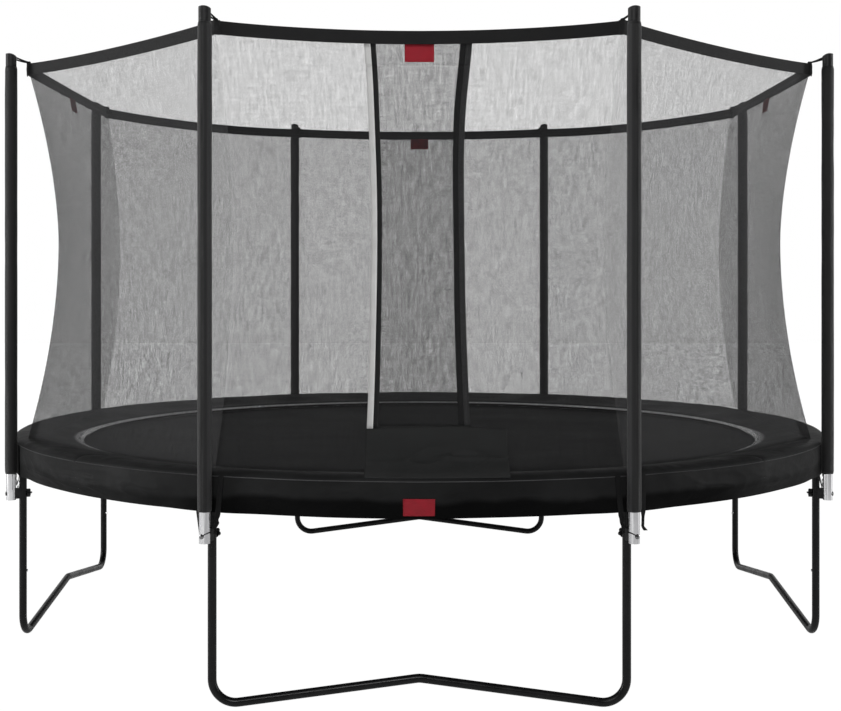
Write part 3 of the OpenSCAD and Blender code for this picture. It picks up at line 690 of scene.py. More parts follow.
def makeMat():
    # A disc in rings of polar points, top and underside joined at the edge; waves of half a millimetre.
    m = mat
    r = np.linspace(0.02, m["radius"], m["rings"])[:, None]
    a = np.linspace(0, 2 * np.pi, m["cols"], endpoint=False)[None]
    wave = (fieldNoise(r * np.cos(a) * 2.2 + 9, r * np.sin(a) * 2.2 + 9, 71) - 0.5) * 0.0012
    wave = wave * (1 - (r / m["radius"]) ** 4)
    uvR, uvAngle = np.append(r[:, 0], r[-1, 0])[:, None], np.append(a[0], 2 * np.pi)[None]
    uv = np.stack([uvR * np.cos(uvAngle), uvR * np.sin(uvAngle)], -1)
    shape = Shape()
    starts = []
    for side in (1, -1):
        pts = polar(a, r, tramp["frameH"] + side * m["thick"] / 2 + wave)
        start = shape.grid(pts, uv, wrapCols=True, flip=side > 0)
        shape.fan(pts[0], start + np.arange(m["cols"]), side > 0)
        starts.append(start)
    top, under = starts
    k = np.arange(m["cols"])
    k2 = (k + 1) % m["cols"]
    rim = (m["rings"] - 1) * m["cols"]
    shape.addFaces(rim + np.stack([under + k, under + k2, top + k2, top + k], -1))
    return shape.finish("jumpingMatCloth", finishes["mat"], "mat", "mat_cloth")


matCloth = makeMat()
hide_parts("jumping_mat")


def ringBand(shape, x0, x1, z0, z1, r):
    # A bar's section from four corner arcs of three points, carried once round the middle.
    arcs = []
    for cx, cz, a0 in ((x1 - r, z0 + r, -90), (x1 - r, z1 - r, 0),
                       (x0 + r, z1 - r, 90), (x0 + r, z0 + r, 180)):
        a = np.radians(a0 + np.linspace(0, 90, 3))
        arcs.append(np.stack([cx + r * np.cos(a), cz + r * np.sin(a)], -1))
    profile = np.concatenate(arcs)
    cols = mat["webCols"]
    a = np.linspace(0, 2 * np.pi, cols, endpoint=False)[None]
    pts = polar(a, profile[:, 0][:, None], profile[:, 1][:, None])
    uv = mapOf(np.linspace(0, 2 * np.pi * profile[:, 0].mean(), cols + 1),
               lengthsAlong(np.concatenate([profile, profile[:1]])))
    shape.grid(pts, uv, wrapRows=True, wrapCols=True, flip=True)


def makeMatWebbing():
    # Two flat tapes over the mat's edge with a filler between, and a folded loop at every ring.
    m, h = mat, tramp["frameH"]
    shape = Shape()
    for s in (1, -1):
        z0, z1 = sorted((h + s * (m["thick"] / 2 + 0.0003), h + s * m["webThick"] / 2))
        ringBand(shape, m["webInner"], m["webOuter"], z0, z1, 0.0008)
    ringBand(shape, m["radius"] + 0.001, m["webOuter"] - 0.0002, h - 0.0025, h + 0.0025, 0.0006)
    wide = np.linspace(-0.5, 0.5, 5) * m["loopWide"]
    turn = np.linspace(-np.pi / 2, np.pi / 2, 9)
    x = np.concatenate([[m["loopFoot"]], m["loopOut"] + m["loopR"] * np.cos(turn), [m["loopFoot"]]])
    z = np.concatenate([[-0.0050], m["loopR"] * np.sin(turn), [0.0050]])
    loop = np.stack(np.broadcast_arrays(x[None], wide[:, None], z[None] + h), -1)
    uv = metres(len(x) + 1, len(wide) + 1, 0.045, m["loopWide"])
    for i in posts:
        for k in range(spring["perRail"]):
            shape.shell(turned(loop, springAngle(i, k)), m["loopThick"], uv)
    return shape.finish("matWebbing", finishes["webbing"], "mat", "webbing", sharpAngle=40)


matWebbing = makeMatWebbing()
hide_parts("mat_webbing")
print("jumping mat made")

# Pad: four crowned sections with a hanging skirt
pad = {
    "innerR": 1.595, "edgeThick": 0.013, "crestThick": 0.043, "crestR": 1.858,
    "shoulderThick": 0.022, "skirtIn": 1.9004, "cols": 420, "gap": 0.0004,
    "bulge": 0.0075, "tuck": 0.014, "wrinkle": 0.0060, "lip": 0.0122, "lipR": 1.660,
    "roundWide": 0.046, "roundDown": 0.0120, "postWide": 1.6, "postFade": 5.0,
    "dent": 0.0050, "pucker": 0.0022, "innerPucker": 0.0016, "endPull": 0.004, "weltR": 0.0021,
}


def crown(r):
    # Height over the pad's underside: a rounded inner edge, half a cosine up to the crest, then a
    # quarter of an ellipse down.
    p = pad
    inner = p["innerR"] + p["edgeThick"] / 2
    rise = p["edgeThick"] + (p["crestThick"] - p["edgeThick"]) * (
        1 - np.cos(np.pi * (r - inner) / (p["crestR"] - inner))) / 2
    over = np.clip((r - p["crestR"]) / (tramp["skirtR"] - p["crestR"]), 0, 1)
    fall = p["shoulderThick"] + (p["crestThick"] - p["shoulderThick"]) * np.sqrt(1 - over ** 2)
    toEdge = 1 - np.clip((r - inner) / p["roundWide"], 0, 1)
    return np.where(r < p["crestR"], rise - p["roundDown"] * (1 - np.sqrt(1 - toEdge ** 2)), fall)


def nearPost(a):
    # 1 at a post and 0 some degrees away: the cloth is held there.
    off = np.abs(np.angle(np.exp(1j * (a[..., None] - np.array([postAngle(i) for i in posts]))))).min(-1)
    return 1 - smooth01((np.degrees(off) - pad["postWide"]) / pad["postFade"])


def padProfile():
    # Section points from the skirt's hem up its face, over the crown, round the inner lip that hangs to
    # the mat, back under and down the skirt's inner face. The third column is how far down the skirt.
    p, under = pad, tramp["padUnder"]
    foot, skirtR = tramp["skirtFoot"], tramp["skirtR"]
    shoulder = under + p["shoulderThick"]
    down = np.linspace(1, 0, 34)
    rows = [np.stack([skirtR + 0 * down, shoulder + (foot - shoulder) * down, down], -1)]
    q = np.linspace(0, 1, 12)[1:]
    r = skirtR - (skirtR - p["crestR"]) * (1 - np.cos(q * np.pi / 2))
    rows.append(np.stack([r, under + crown(r), 0 * r], -1))
    inner = p["innerR"] + p["edgeThick"] / 2
    q = np.linspace(0, 1, 13)[1:]
    r = np.concatenate([np.linspace(p["crestR"], inner + p["roundWide"], 32)[1:],
                        inner + p["roundWide"] * (1 - np.sin(q * np.pi / 2))])
    rows.append(np.stack([r, under + crown(r), 0 * r], -1))
    e = np.linspace(0, np.pi, 13)[1:]
    tall = float(crown(np.array(inner))) + p["lip"]
    rows.append(np.stack([inner - p["edgeThick"] / 2 * np.sin(e),
                          under - p["lip"] + tall / 2 * (1 + np.cos(e)), 0 * e], -1))
    r = np.concatenate([np.linspace(inner, p["lipR"], 7)[1:], np.linspace(p["lipR"], p["skirtIn"], 10)[1:]])
    rows.append(np.stack([r, under - p["lip"] * (1 - smooth01((r - 1.640) / 0.018)), 0 * r], -1))
    down = np.linspace(0, 1, 24)[1:]
    rows.append(np.stack([p["skirtIn"] + 0 * down, under + (foot - under) * down, down], -1))
    return np.concatenate(rows)


def skirtShift(a, down):
    # Outward shift of the skirt: a swell in its upper part, a tuck at the hem and long soft creases,
    # all of it fading out at the posts.
    p = pad
    free = 1 - nearPost(a)
    uneven = 0.35 + 0.9 * roundNoise(a, 31, 2 + 0 * a, 81)
    swell = p["bulge"] * np.sin(np.pi * np.clip(down, 0, 1) ** 0.8) * uneven
    tuck = -p["tuck"] * smooth01((down - 0.40) / 0.60) * (0.6 + 0.8 * roundNoise(a, 44, 5 + 0 * a, 82))
    long1 = roundFold(a, 57, down * 1.3, down * 2.6, 83) ** 2 - 0.4
    long2 = roundFold(a, 107, -down * 2.0, down * 3.4 + 9, 84) ** 2 - 0.4
    small = roundNoise(a, 290, down * 5, 85) - 0.5
    hold = np.sin(np.pi * np.clip(down, 0, 1)) ** 0.7
    crease = p["wrinkle"] * hold * (long1 + 0.6 * long2 + 0.35 * small)
    return free * (swell + tuck + crease)


def crownShift(a, r):
    # Rise of the pad's top: shallow dents, and puckers by the outer seam and the inner edge.
    dent = (roundNoise(a, 50, r * 9, 86) - 0.5) * pad["dent"] * smooth01((r - 1.63) / 0.05)
    outer = (roundNoise(a, 377, r * 14, 87) - 0.5) * pad["pucker"] * smooth01((r - 1.80) / 0.09)
    inner = (roundNoise(a, 250, r * 20, 88) - 0.5) * pad["innerPucker"] * (1 - smooth01((r - 1.617) / 0.05))
    return (dent + outer + inner) * (1 - smooth01((r - 1.875) / 0.027))


def makePad(i):
    # The section's profile carried round a quarter of the ring and shifted by the creases.
    p = pad
    first = math.radians(90 * (i - 1) - 135) + p["gap"] / 2 / tramp["frameR"]
    a = np.linspace(first, first + math.radians(90) - p["gap"] / tramp["frameR"], p["cols"])[None]
    prof = padProfile()
    r0, z0, down = prof[:, 0][:, None], prof[:, 1][:, None], prof[:, 2][:, None]
    aa = a + 0 * r0
    above = z0 - tramp["padUnder"] - 0.011
    onTop = (above > 0) & (down == 0)
    r = r0 + np.where(down > 0, skirtShift(aa, down + 0 * aa), 0)
    endPull = p["endPull"] * np.exp(-np.minimum(aa - a[0, 0], a[0, -1] - aa) / 0.006)
    z = z0 + np.where(onTop, crownShift(aa, r0 + 0 * aa) - endPull * smooth01(above / 0.02), 0)
    pts = polar(aa, r, z)
    along = lengthsAlong(prof[:, :2])
    uv = mapOf((a[0] - first) * tramp["frameR"], np.append(along, along[-1] + 0.002))
    shape = Shape()
    start = shape.grid(pts, uv, wrapRows=True, flip=True)
    rows, cols = pts.shape[:2]
    for col, turn in ((0, True), (cols - 1, False)):
        closeEnd(shape, pts[:, col], start + np.arange(rows) * cols + col, turn)
    piece = shape.finish(f"padSection_{i}", finishes["vinyl"], "frame", "pad_vinyl", sharpAngle=60)
    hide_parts(f"pad_section_{i}")


def closeEnd(shape, ring, index, turn):
    # The end of a section: triangles that close its outline.
    flat = [Vector((math.hypot(p[0], p[1]), p[2], 0)) for p in ring]
    tri = np.array(tessellate_polygon([flat]))
    a, b, c = (np.array([flat[k][:2] for k in tri[:, j]]) for j in range(3))
    area = np.cross(b - a, c - a)
    tri = np.where((area > 0)[:, None], tri, tri[:, ::-1])
    shape.addFaces(index[tri[:, ::-1] if turn else tri])


for i in legs:
    makePad(i)


def makeWelt(i):
    # Piping along the seam between the pad's top and its skirt.
    p = pad
    first = math.radians(90 * (i - 1) - 135) + 0.0006
    a = np.linspace(first, first + math.radians(90) - 0.0012, 260)
    z = tramp["padUnder"] + p["shoulderThick"] - 0.0005
    r = tramp["skirtR"] - 0.0007 + 0.0004 * fieldNoise(a * 30, 0 * a, 91)
    shape = Shape()
    shape.tube(polar(a, r, z + (fieldNoise(a * 14, 0 * a + 3, 92) - 0.5) * 0.0016), p["weltR"], 6)
    shape.finish(f"padWelt_{i}", finishes["piping"], "frame", "pad_vinyl")


for i in legs:
    makeWelt(i)
print("pad made")

# Pad straps: webbing from the pad's edge and the hem to the clamp bolt. The tables give the points of a
# tape over the skirt and of a spare end: distance from the middle, distance to the post's side, height.
strap = {
    "wide": 0.022, "thick": 0.0016, "boltH": 0.629, "ringR": 0.0222, "cordR": 0.0017,
    "straight": (1.9030, 1.8990),
    "over": np.array([
        (1.9020, 0.0520, 0.846), (1.9038, 0.0515, 0.835), (1.9044, 0.0480, 0.800), (1.9042, 0.0445, 0.760),
        (1.9038, 0.0410, 0.725), (1.9036, 0.0390, 0.708), (1.9070, 0.0350, 0.690), (1.9020, 0.0330, 0.672),
        (1.9055, 0.0280, 0.655), (1.8990, 0.0265, 0.643), (1.9020, 0.0240, 0.634)]),
    "spare": np.array([
        (1.9020, 0.0540, 0.846), (1.9038, 0.0550, 0.835), (1.9044, 0.0555, 0.800), (1.9042, 0.0555, 0.760),
        (1.9038, 0.0550, 0.725), (1.9036, 0.0550, 0.708), (1.9075, 0.0520, 0.694), (1.9000, 0.0565, 0.680),
        (1.9065, 0.0520, 0.667), (1.8990, 0.0560, 0.655), (1.9040, 0.0600, 0.646), (1.9070, 0.0640, 0.640)]),
}


def ribbon(shape, path, across, wide):
    # A flat tape: each point of the path is spread to both sides along across.
    t = np.linspace(-0.5, 0.5, 5)
    pts = path[None] + unit(across)[None] * (wide[None] * t[:, None])[..., None]
    step = lengthsAlong(path)
    uv = mapOf(np.append(step, step[-1] + 0.01), np.append(t, 0.7) * wide.max())
    shape.shell(pts, strap["thick"], uv)


def between(points, places):
    # The columns of a table of points, read off at places between its rows.
    return (np.interp(places, np.arange(len(points)), column) for column in points.T)


def makeStrap(i):
    # One tape lies over the skirt from the welt to the hem and on to the bolt. At odd posts it hangs in
    # loose folds, and on the other side a narrowing tape runs from under the hem to the bolt; at even
    # posts it is drawn straight, and on the other side a spare end hangs in folds.
    s = strap
    odd = i % 2 == 1
    toLeg = 1 if odd else -1
    bolt, hem = s["boltH"], tramp["skirtFoot"]
    shape = Shape()
    points = s["over"].copy()
    if not odd:
        points[6:, 0] = np.linspace(*s["straight"], len(points) - 6)
    t = np.linspace(0, len(points) - 1, 44)
    out, along, z = between(points, t)
    wiggle = 0.0016 * np.sin(t * 4.1 + i) * smooth01((t - 4.5) / 1.5)
    path = postSpace(i, out + wiggle, toLeg * along, z)
    across = postSpace(i, 0.25 * np.sin(t * 2.2 + i) * smooth01((t - 5) / 2), 0 * z + 1, 0 * z)
    ribbon(shape, path, across * toLeg, s["wide"] * (1 - 0.45 * smooth01((t - 5.5) / 3.5)))
    if odd:
        t = np.linspace(0, 1, 16)
        path = postSpace(i, 1.8990 + 0.0190 * t, -0.0490 + 0.0214 * t,
                         hem + 0.006 + (bolt - hem - 0.012) * t)
        wide = 0.018 - 0.014 * t
    else:
        t = np.linspace(0, len(s["spare"]) - 1, 48)
        path = postSpace(i, *between(s["spare"], t))
        wide = s["wide"] * (0.85 - 0.35 * smooth01((t - 4.5) / 2.0) + 0.2 * smooth01((t - 9.0) / 1.5))
    ribbon(shape, path, postSpace(i, 0 * t + 0.2, 0 * t + 0.98, 0 * t), wide)
    turn = toLeg * np.linspace(-0.25, 1.15, 14) * math.pi / 2
    shape.tube(postSpace(i, tramp["poleAt"] + s["ringR"] * np.cos(turn), s["ringR"] * np.sin(turn),
                         bolt + 0.0020 + 0.0110 * np.sin(turn * toLeg)), s["cordR"], 6)
    return shape.finish(f"padStrap_{i}", finishes["webbing"], "frame", "webbing", sharpAngle=45)


straps = [makeStrap(i) for i in posts]
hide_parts("pad_straps")
print("straps made")

# Safety net
net = {
    "waistH": 1.720, "waistR": 1.729, "thick": 0.00012,
    "aboveOut": 0.129, "above": 0.750, "abovePower": 1.7,
    "belowOut": 0.116, "below": 0.806, "belowPower": 1.9,
    "shallowR": 1.772, "shallowAbove": 0.080, "shallowBelow": 0.097,
    "bow": 0.016, "bowTall": 1.58, "cols": 60, "rows": 90, "layer": 0.0030,
    "bandCornerFoot": 2.445, "hideTop": 0.020, "foot": 0.86, "tall": 1.62,
}
sag = {1: 0.037, 2: 0.014, 3: 0.003, 4: 0.022, 5: 0.016, 6: 0.022, 7: 0.003, 8: 0.014}


def cornerR(post, z):
    # Distance of a corner from the middle: least at the waist, out by a power of the height from it.
    n = net
    up = np.clip((z - n["waistH"]) / n["above"], 0, None) ** n["abovePower"]
    down = np.clip((n["waistH"] - z) / n["below"], 0, None) ** n["belowPower"]
    if post in (4, 7):
        return n["shallowR"] + n["shallowAbove"] * up + n["shallowBelow"] * down
    return n["waistR"] + n["aboveOut"] * up + n["belowOut"] * down


def bandFoot(i, s):
    # The band's lower edge: a parabola between two corners.
    return net["bandCornerFoot"] - sag[i] * (1 - s ** 2)


def netSurface(i, s, z):
    # Straight between two corners at each height, bowed out a little at the waist.
    first, last = wrapPost(i), wrapPost(i + 1)
    ra, rb, half = cornerR(first, z), cornerR(last, z), sideHalf(i)
    outA, outB = ra * math.cos(half), rb * math.cos(half)
    alongA, alongB = -ra * math.sin(half), rb * math.sin(half)
    t = (s + 1) / 2
    up = np.clip((z - net["foot"]) / net["bowTall"], 0, 1)
    bow = net["bow"] * (1 - s ** 2) * np.sin(np.pi * up) ** 1.5
    drift = (fieldNoise(s * 2.3 + 5 * i, z * 2.1, 101) - 0.5) * 0.006 * (1 - s ** 2)
    return sideSpace(i, outA + (outB - outA) * t + bow + drift, alongA + (alongB - alongA) * t, z)


def netFoot(i, s):
    # Where the net meets the pad: the crown's height at the net's distance there.
    z = net["foot"] + 0 * s
    for _ in range(3):
        p = netSurface(i, s, z)
        r = np.hypot(p[..., 0], p[..., 1])
        z = tramp["padUnder"] + crown(r) + 0.0012
    return z


def netSheet(shape, i, s0, s1, cols, rows, z0=None, z1=None, lift=0.0, thick=None):
    # s0 and s1 are the sheet's ends along the side, as numbers or as functions of height.
    t = np.linspace(0, 1, rows)[:, None]
    u = np.linspace(0, 1, cols)[None]
    guess = net["foot"] + 1.57 * t + 0 * u
    for _ in range(2):
        left = s0(guess) if callable(s0) else s0
        right = s1(guess) if callable(s1) else s1
        s = left + (right - left) * u + 0 * t
        low = netFoot(i, s[0])[None] if z0 is None else z0 + 0 * u
        high = (bandFoot(i, s[-1]) + net["hideTop"])[None] if z1 is None else z1 + 0 * u
        guess = low + (high - low) * t
    pts = netSurface(i, s, guess)
    uv = np.stack([s * tramp["netR"] * math.sin(sideHalf(i)) + 10 * i, guess], -1)
    shape.shell(pts, thick or net["thick"], np.pad(uv, ((0, 1), (0, 1), (0, 0)), "edge"), lift=lift)


# Widths of the bindings and the flare of their edges are in millimetres; the seams' places are shares of
# half the side, at the heights in the first row.
entrance = {
    "hinge": 0.2434, "topH": 2.336, "flapFoot": 1.013, "bindingThick": 0.0024,
    "whiteWide": 21.5, "blackWide": 18.0, "greyWide": 20.5, "darkWide": 20.5, "flare": 1.5,
    "outerFoot": 1.004, "innerFoot": 1.016, "bindingTop": 2.424, "fixedWide": 0.56,
    "flapFlat": (0.36, 1.34), "bendFrom": 0.181, "bendWide": 0.075, "bendH": 1.68,
    "standOff": 0.0034, "standBelow": 1.07, "overlap": 0.0005,
}
edgeHeights = [0.90, 1.058, 1.166, 1.294, 1.440, 1.662, 1.883, 2.027, 2.172, 2.300, 2.389, 2.46]
leftSeam = [-0.2350, -0.2325, -0.2310, -0.2300, -0.2285, -0.2264, -0.2265, -0.2300, -0.2335, -0.2360, -0.2417,
            -0.245]
rightSeam = [0.2290, 0.2257, 0.2225, 0.2190, 0.2155, 0.2139, 0.2078, 0.2050, 0.2080, 0.2218, 0.2312, 0.236]


def seamAt(values, z):
    # The seam's place along the side at a height: a straight run between the given heights, softened.
    return sum(np.interp(z + shift, edgeHeights, values) for shift in (-0.06, -0.03, 0, 0.03, 0.06)) / 5


def stripEdge(values, outMm):
    # The edge of a strip that lies outMm millimetres to the right of the seam at the waist, and a
    # little further at the top and the foot.
    def edge(z):
        flare = entrance["flare"] * outMm / 20 * np.abs(z - net["waistH"]) / 0.7
        return seamAt(values, z) + (outMm + flare) / 1000 / (cornerR(1, z) * math.sin(sideHalf(1)))
    return edge


outerFree = stripEdge(leftSeam, -entrance["whiteWide"])
innerFree = stripEdge(rightSeam, entrance["greyWide"])


def makeNetSide(i):
    shape = Shape()
    netSheet(shape, i, -1, 1, net["cols"], net["rows"])
    finish = finishes["netBack" if 4 <= i <= 6 else "netSide"]
    piece = shape.finish(f"netSheet_{i}", finish, "frame", "net_mesh")
    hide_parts(f"net_panel_{i}")


for i in posts[1:]:
    makeNetSide(i)


def makeFront(name, finish, body, lift, *sheets):
    # Each sheet: its two ends along the side, columns, rows, lowest and highest height.
    shape = Shape()
    for sheet in sheets:
        netSheet(shape, 1, *sheet, lift=lift)
    return shape.finish(name, finishes[finish], body, "net_mesh")


# The front: an outer layer from the right corner, an inner layer from the left one, both closed above
# the entrance, and a flap of each between.
hinge, lift, topH, footH = entrance["hinge"], net["layer"], entrance["topH"], entrance["flapFoot"]
frontRight = makeFront("netSheet_1_right", "netFront", "frame", lift, (hinge, 1, 36, net["rows"]),
                       (outerFree, hinge, 24, 10, topH))
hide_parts("net_panel_1")
frontLeft = makeFront("netSheet_1_left", "netInner", "frame", -lift, (-1, -hinge, 36, net["rows"]),
                      (-hinge, innerFree, 24, 10, topH))
flapOuter = makeFront("netFlapOuter", "netFront", None, lift,
                      (outerFree, hinge, 40, net["rows"], footH, topH))
flapInner = makeFront("netFlapInner", "netInner", None, -lift,
                      (-hinge, innerFree, 40, net["rows"], footH, topH))


def strip(name, finish, body, slot, edges, z0, z1, rows, lift):
    # Towards its foot the outer strip stands off the threshold cloth.
    height = np.linspace(z0, z1, rows)[:, None]
    stand = smooth01((entrance["standBelow"] - height) / 0.05) if lift > 0 else 0 * height
    shape = Shape()
    netSheet(shape, 1, *edges, 4, rows, z0, z1, lift + entrance["standOff"] * stand, entrance["bindingThick"])
    return shape.finish(name, finishes[finish], body, slot)


def makeStrip(name, finish, slot, values, mm0, mm1, lift, foot):
    # The moving part of a binding and its fixed part up to the band.
    edges = stripEdge(values, mm0), stripEdge(values, mm1)
    over, end = entrance["overlap"], entrance["bindingTop"]
    moving = strip(name, finish, None, slot, edges, foot, topH + over, 80, lift)
    fixed = strip(name + "_top", finish, "frame", slot, edges, topH - over, end, 8, lift * 0.98)
    return moving, fixed


e = entrance
(whiteStrip, whiteTop), (blackStrip, blackTop), (greyStrip, greyTop), (darkStrip, darkTop) = (
    makeStrip(*values) for values in (
        ("edgeWhite", "white", "binding_white", leftSeam, -e["whiteWide"], -0.01, lift, e["outerFoot"]),
        ("edgeBlackOuter", "black", "band_cloth", leftSeam, 0.0, e["blackWide"], lift, e["outerFoot"]),
        ("edgeGrey", "grey", "binding_grey", rightSeam, 0.01, e["greyWide"], -lift, e["innerFoot"]),
        ("edgeBlackInner", "black", "band_cloth", rightSeam, -e["darkWide"], 0.0, -lift, e["innerFoot"])))

# Each layer: which side it hangs from, where its seam lies, its flap and fixed net, and their bindings
layers = (
    (1, "outer", -1.68, flapOuter, frontRight, [whiteStrip, blackStrip], [whiteTop, blackTop]),
    (-1, "inner", -1.575, flapInner, frontLeft, [greyStrip, darkStrip], [greyTop, darkTop]))
for side, body, seamY, flap, fixed, moving, still in layers:
    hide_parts(f"entrance_binding_{body}")
    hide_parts(f"entrance_flap_{body}")
    for piece in [flap] + moving:
        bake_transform(piece)
print("net made")

# Top band, its corner patches and the elastics to the caps
band = {
    "tall": 0.049, "thick": 0.0020, "off": 0.00182, "cornerR": 1.8595, "hem": 0.0007, "cols": 56,
    "patchHalf": 0.019, "patchThick": 0.0018, "patchOver": 0.0055,
}


def makeBand():
    # Rows across the band's height, columns round all eight sides that crowd at the corners.
    b = band
    s = np.linspace(-1, 1, b["cols"], endpoint=False)
    s = s + 0.29 * np.sin(np.pi * s)
    tall = (b["tall"] + 0.002 * np.abs(s) ** 8)[:, None]
    lines = []
    for i in posts:
        out, along = b["cornerR"] * math.cos(sideHalf(i)) + b["off"], b["cornerR"] * math.sin(sideHalf(i))
        lines.append(np.concatenate([sideSpace(i, out, s * along, bandFoot(i, s)), tall], 1))
    line = np.concatenate(lines)
    for _ in range(3):
        line = (np.roll(line, 1, 0) + 2 * line + np.roll(line, -1, 0)) / 4
    a = np.arctan2(line[:, 1], line[:, 0])
    h = np.linspace(0, 1, 13)[:, None]
    wave = (fieldNoise(a * 9, h * 1.5, 111) - 0.5) * 0.0022 * np.sin(np.pi * h)
    normal = unit(np.stack([np.cos(a), np.sin(a), 0 * a], -1))
    pts = line[None, :, :3] + np.array([0, 0, 1.0]) * (line[None, :, 3] * h)[..., None]
    pts = pts + normal[None] * wave[..., None]
    edge = np.minimum(h, 1 - h) * b["tall"]
    hem = b["hem"] * (1 - smooth01((edge - 0.007) / 0.002))
    thick = b["thick"] + hem - 0.0012 * (1 - smooth01(edge / 0.002))
    length = lengthsAlong(line[:, :3])
    length = np.append(length, 2 * length[-1] - length[-2])
    shape = Shape()
    shape.shell(pts, thick + 0 * pts[..., 0], mapOf(length, np.append(h[:, 0], 1) * b["tall"]), wrapCols=True)
    piece = shape.finish("topBand", finishes["band"], "frame", "band_cloth")
    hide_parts("net_top_band")
    return piece, length[-1]


topBand, bandLength = makeBand()


def makeCorner(i):
    # A doubled patch sewn round the band's corner.
    b = band
    half = b["patchHalf"]
    y = np.linspace(-half, half, 15)[None]
    h = np.linspace(0, 1, 9)[:, None]
    slope = np.where(y < 0, math.tan(sideHalf(wrapPost(i - 1))), math.tan(sideHalf(i)))
    dip = np.sqrt(y ** 2 + 0.004 ** 2) * slope - 0.004 * 0.4
    out = b["cornerR"] + b["off"] - dip + 0.0022 + 0 * h
    foot = net["bandCornerFoot"] - 0.002 - 0.06 * np.abs(y)
    z = foot + h * (b["tall"] + b["patchOver"]) + 0.0008 * np.sin(y * 260 + i)
    bulge = 0.0012 * np.sin(np.pi * h) + (fieldNoise(y * 90 + i, h * 4, 120 + i) - 0.5) * 0.0016
    pts = postSpace(i, out + bulge, y + 0 * h, z)
    shape = Shape()
    shape.shell(pts, b["patchThick"], metres(y.size + 1, h.size + 1, 2 * half, b["tall"]))
    return shape.finish(f"bandCorner_{i}", finishes["band"], "frame", "band_cloth")


corners = [makeCorner(i) for i in posts]

elastic = {
    "wireR": 0.0034, "apart": 0.0075, "capAt": 1.9090, "capH": 2.5140, "endAt": 1.8500, "endH": 2.4995,
    "knotR": 0.0031,
}


def makeElastic(i, side):
    # One strand from the hole in the cap to the band's corner, with a slight sag.
    e = elastic
    t = np.linspace(0, 1, 14)
    out = e["capAt"] + (e["endAt"] - e["capAt"]) * t
    along = side * e["apart"] / 2 * (0.35 + 0.6 * np.sin(np.pi * t) + 0.1 * t)
    z = e["capH"] + (e["endH"] - e["capH"]) * t + side * 0.0042 * (1 - t) - 0.0015 * np.sin(np.pi * t)
    path = postSpace(i, out, along, z)
    shape = Shape()
    shape.tube(path, e["wireR"], 8)
    name = f"elastic_{i}_{'a' if side < 0 else 'b'}"
    piece = shape.finish(name, finishes["webbing"], "frame", "band_cloth")
    return piece


def makeKnot(i):
    # Two turns of cord round the strands' end.
    e = elastic
    a = np.linspace(0, 2 * np.pi, 18, endpoint=False)
    shape = Shape()
    for k, tilt in ((0, 0.5), (1, -0.6)):
        y, z = 0.0054 * np.cos(a), 0.0050 * np.sin(a)
        path = postSpace(i, e["endAt"] + 0.0015 + 0.0044 * k + tilt * y, y, e["endH"] - 0.0015 + z)
        shape.tube(path, e["knotR"], 6, closed=True)
    shape.finish(f"elasticKnot_{i}", finishes["webbing"], "frame", "band_cloth")


elastics = [makeElastic(i, side) for i in posts for side in (-1, 1)]
for i in posts:
    makeKnot(i)
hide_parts("net_elastics")
print("band and elastics made")

# Threshold cloth under the entrance
threshold = {
    "from": -0.195, "to": 0.321, "topH": 1.0104, "thick": 0.0014, "outR": 1.8985, "cols": 100, "rows": 46,
    "flat": (0.516, 0.265), "slack": 0.0075, "fine": 0.0020, "longFold": 0.006,
}


def makeThreshold():
    # From a straight hem on the net the cloth falls in a shallow curve to the pad's crest and lies on it
    # to the welt. Slack shows as a few slanting folds that fade out at the hem and on the pad.
    h = threshold
    x = np.linspace(h["from"], h["to"], h["cols"])[None]
    s = np.linspace(1, 0, h["rows"])[:, None]
    side = x / (cornerR(1, h["topH"]) * math.sin(sideHalf(1)))
    startOut = -netSurface(1, side, h["topH"] + 0 * x)[..., 1] + net["layer"] + 0.0012
    endOut = np.sqrt(h["outR"] ** 2 - x ** 2)
    out = startOut + (endOut - startOut) * s
    r = np.hypot(out, x)
    rest = tramp["padUnder"] + np.where(r < pad["crestR"], np.maximum(crown(r), 0.030), crown(r)) + 0.0022
    top = h["topH"] + 0.0025 * np.sin(x * 14) - 0.004 * smooth01((x - 0.2) / 0.12)
    fall = rest + (top - rest) * (1 - s) ** 1.75
    free = np.sin(np.pi * np.clip(s * 1.15, 0, 1)) ** 0.8
    slant = fold(x * 7 + s * 1.6 + 3, s * 2.4 - x * 2, 131) ** 2 - 0.35
    fine = fieldNoise(x * 30, s * 6, 132) - 0.5
    long = np.exp(-((s - 0.46 - 0.12 * x) / 0.035) ** 2) * smooth01((x - 0.02) / 0.12)
    lift = free * (h["slack"] * slant + h["fine"] * fine) + h["longFold"] * long
    z = fall + np.maximum(lift, -0.004)
    pts = np.stack(np.broadcast_arrays(x + 0 * s, -out, z), -1)[::-1]
    shape = Shape()
    shape.shell(pts, h["thick"], metres(h["cols"] + 1, h["rows"] + 1, h["to"] - h["from"], 0.27))
    piece = shape.finish("thresholdCloth", finishes["threshold"], "frame", "sleeve_cloth")
    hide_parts("entrance_threshold")


makeThreshold()

# Plain red tags
tag = {
    "wide": 0.108, "tall": 0.061, "thick": 0.0009, "tuck": 0.004, "off": 0.0052, "curl": 0.0030,
    "skirtFlat": (0.112, 0.062), "skirtFoot": 0.721, "skirtTop": 0.783, "skirtOff": 0.0026,
}


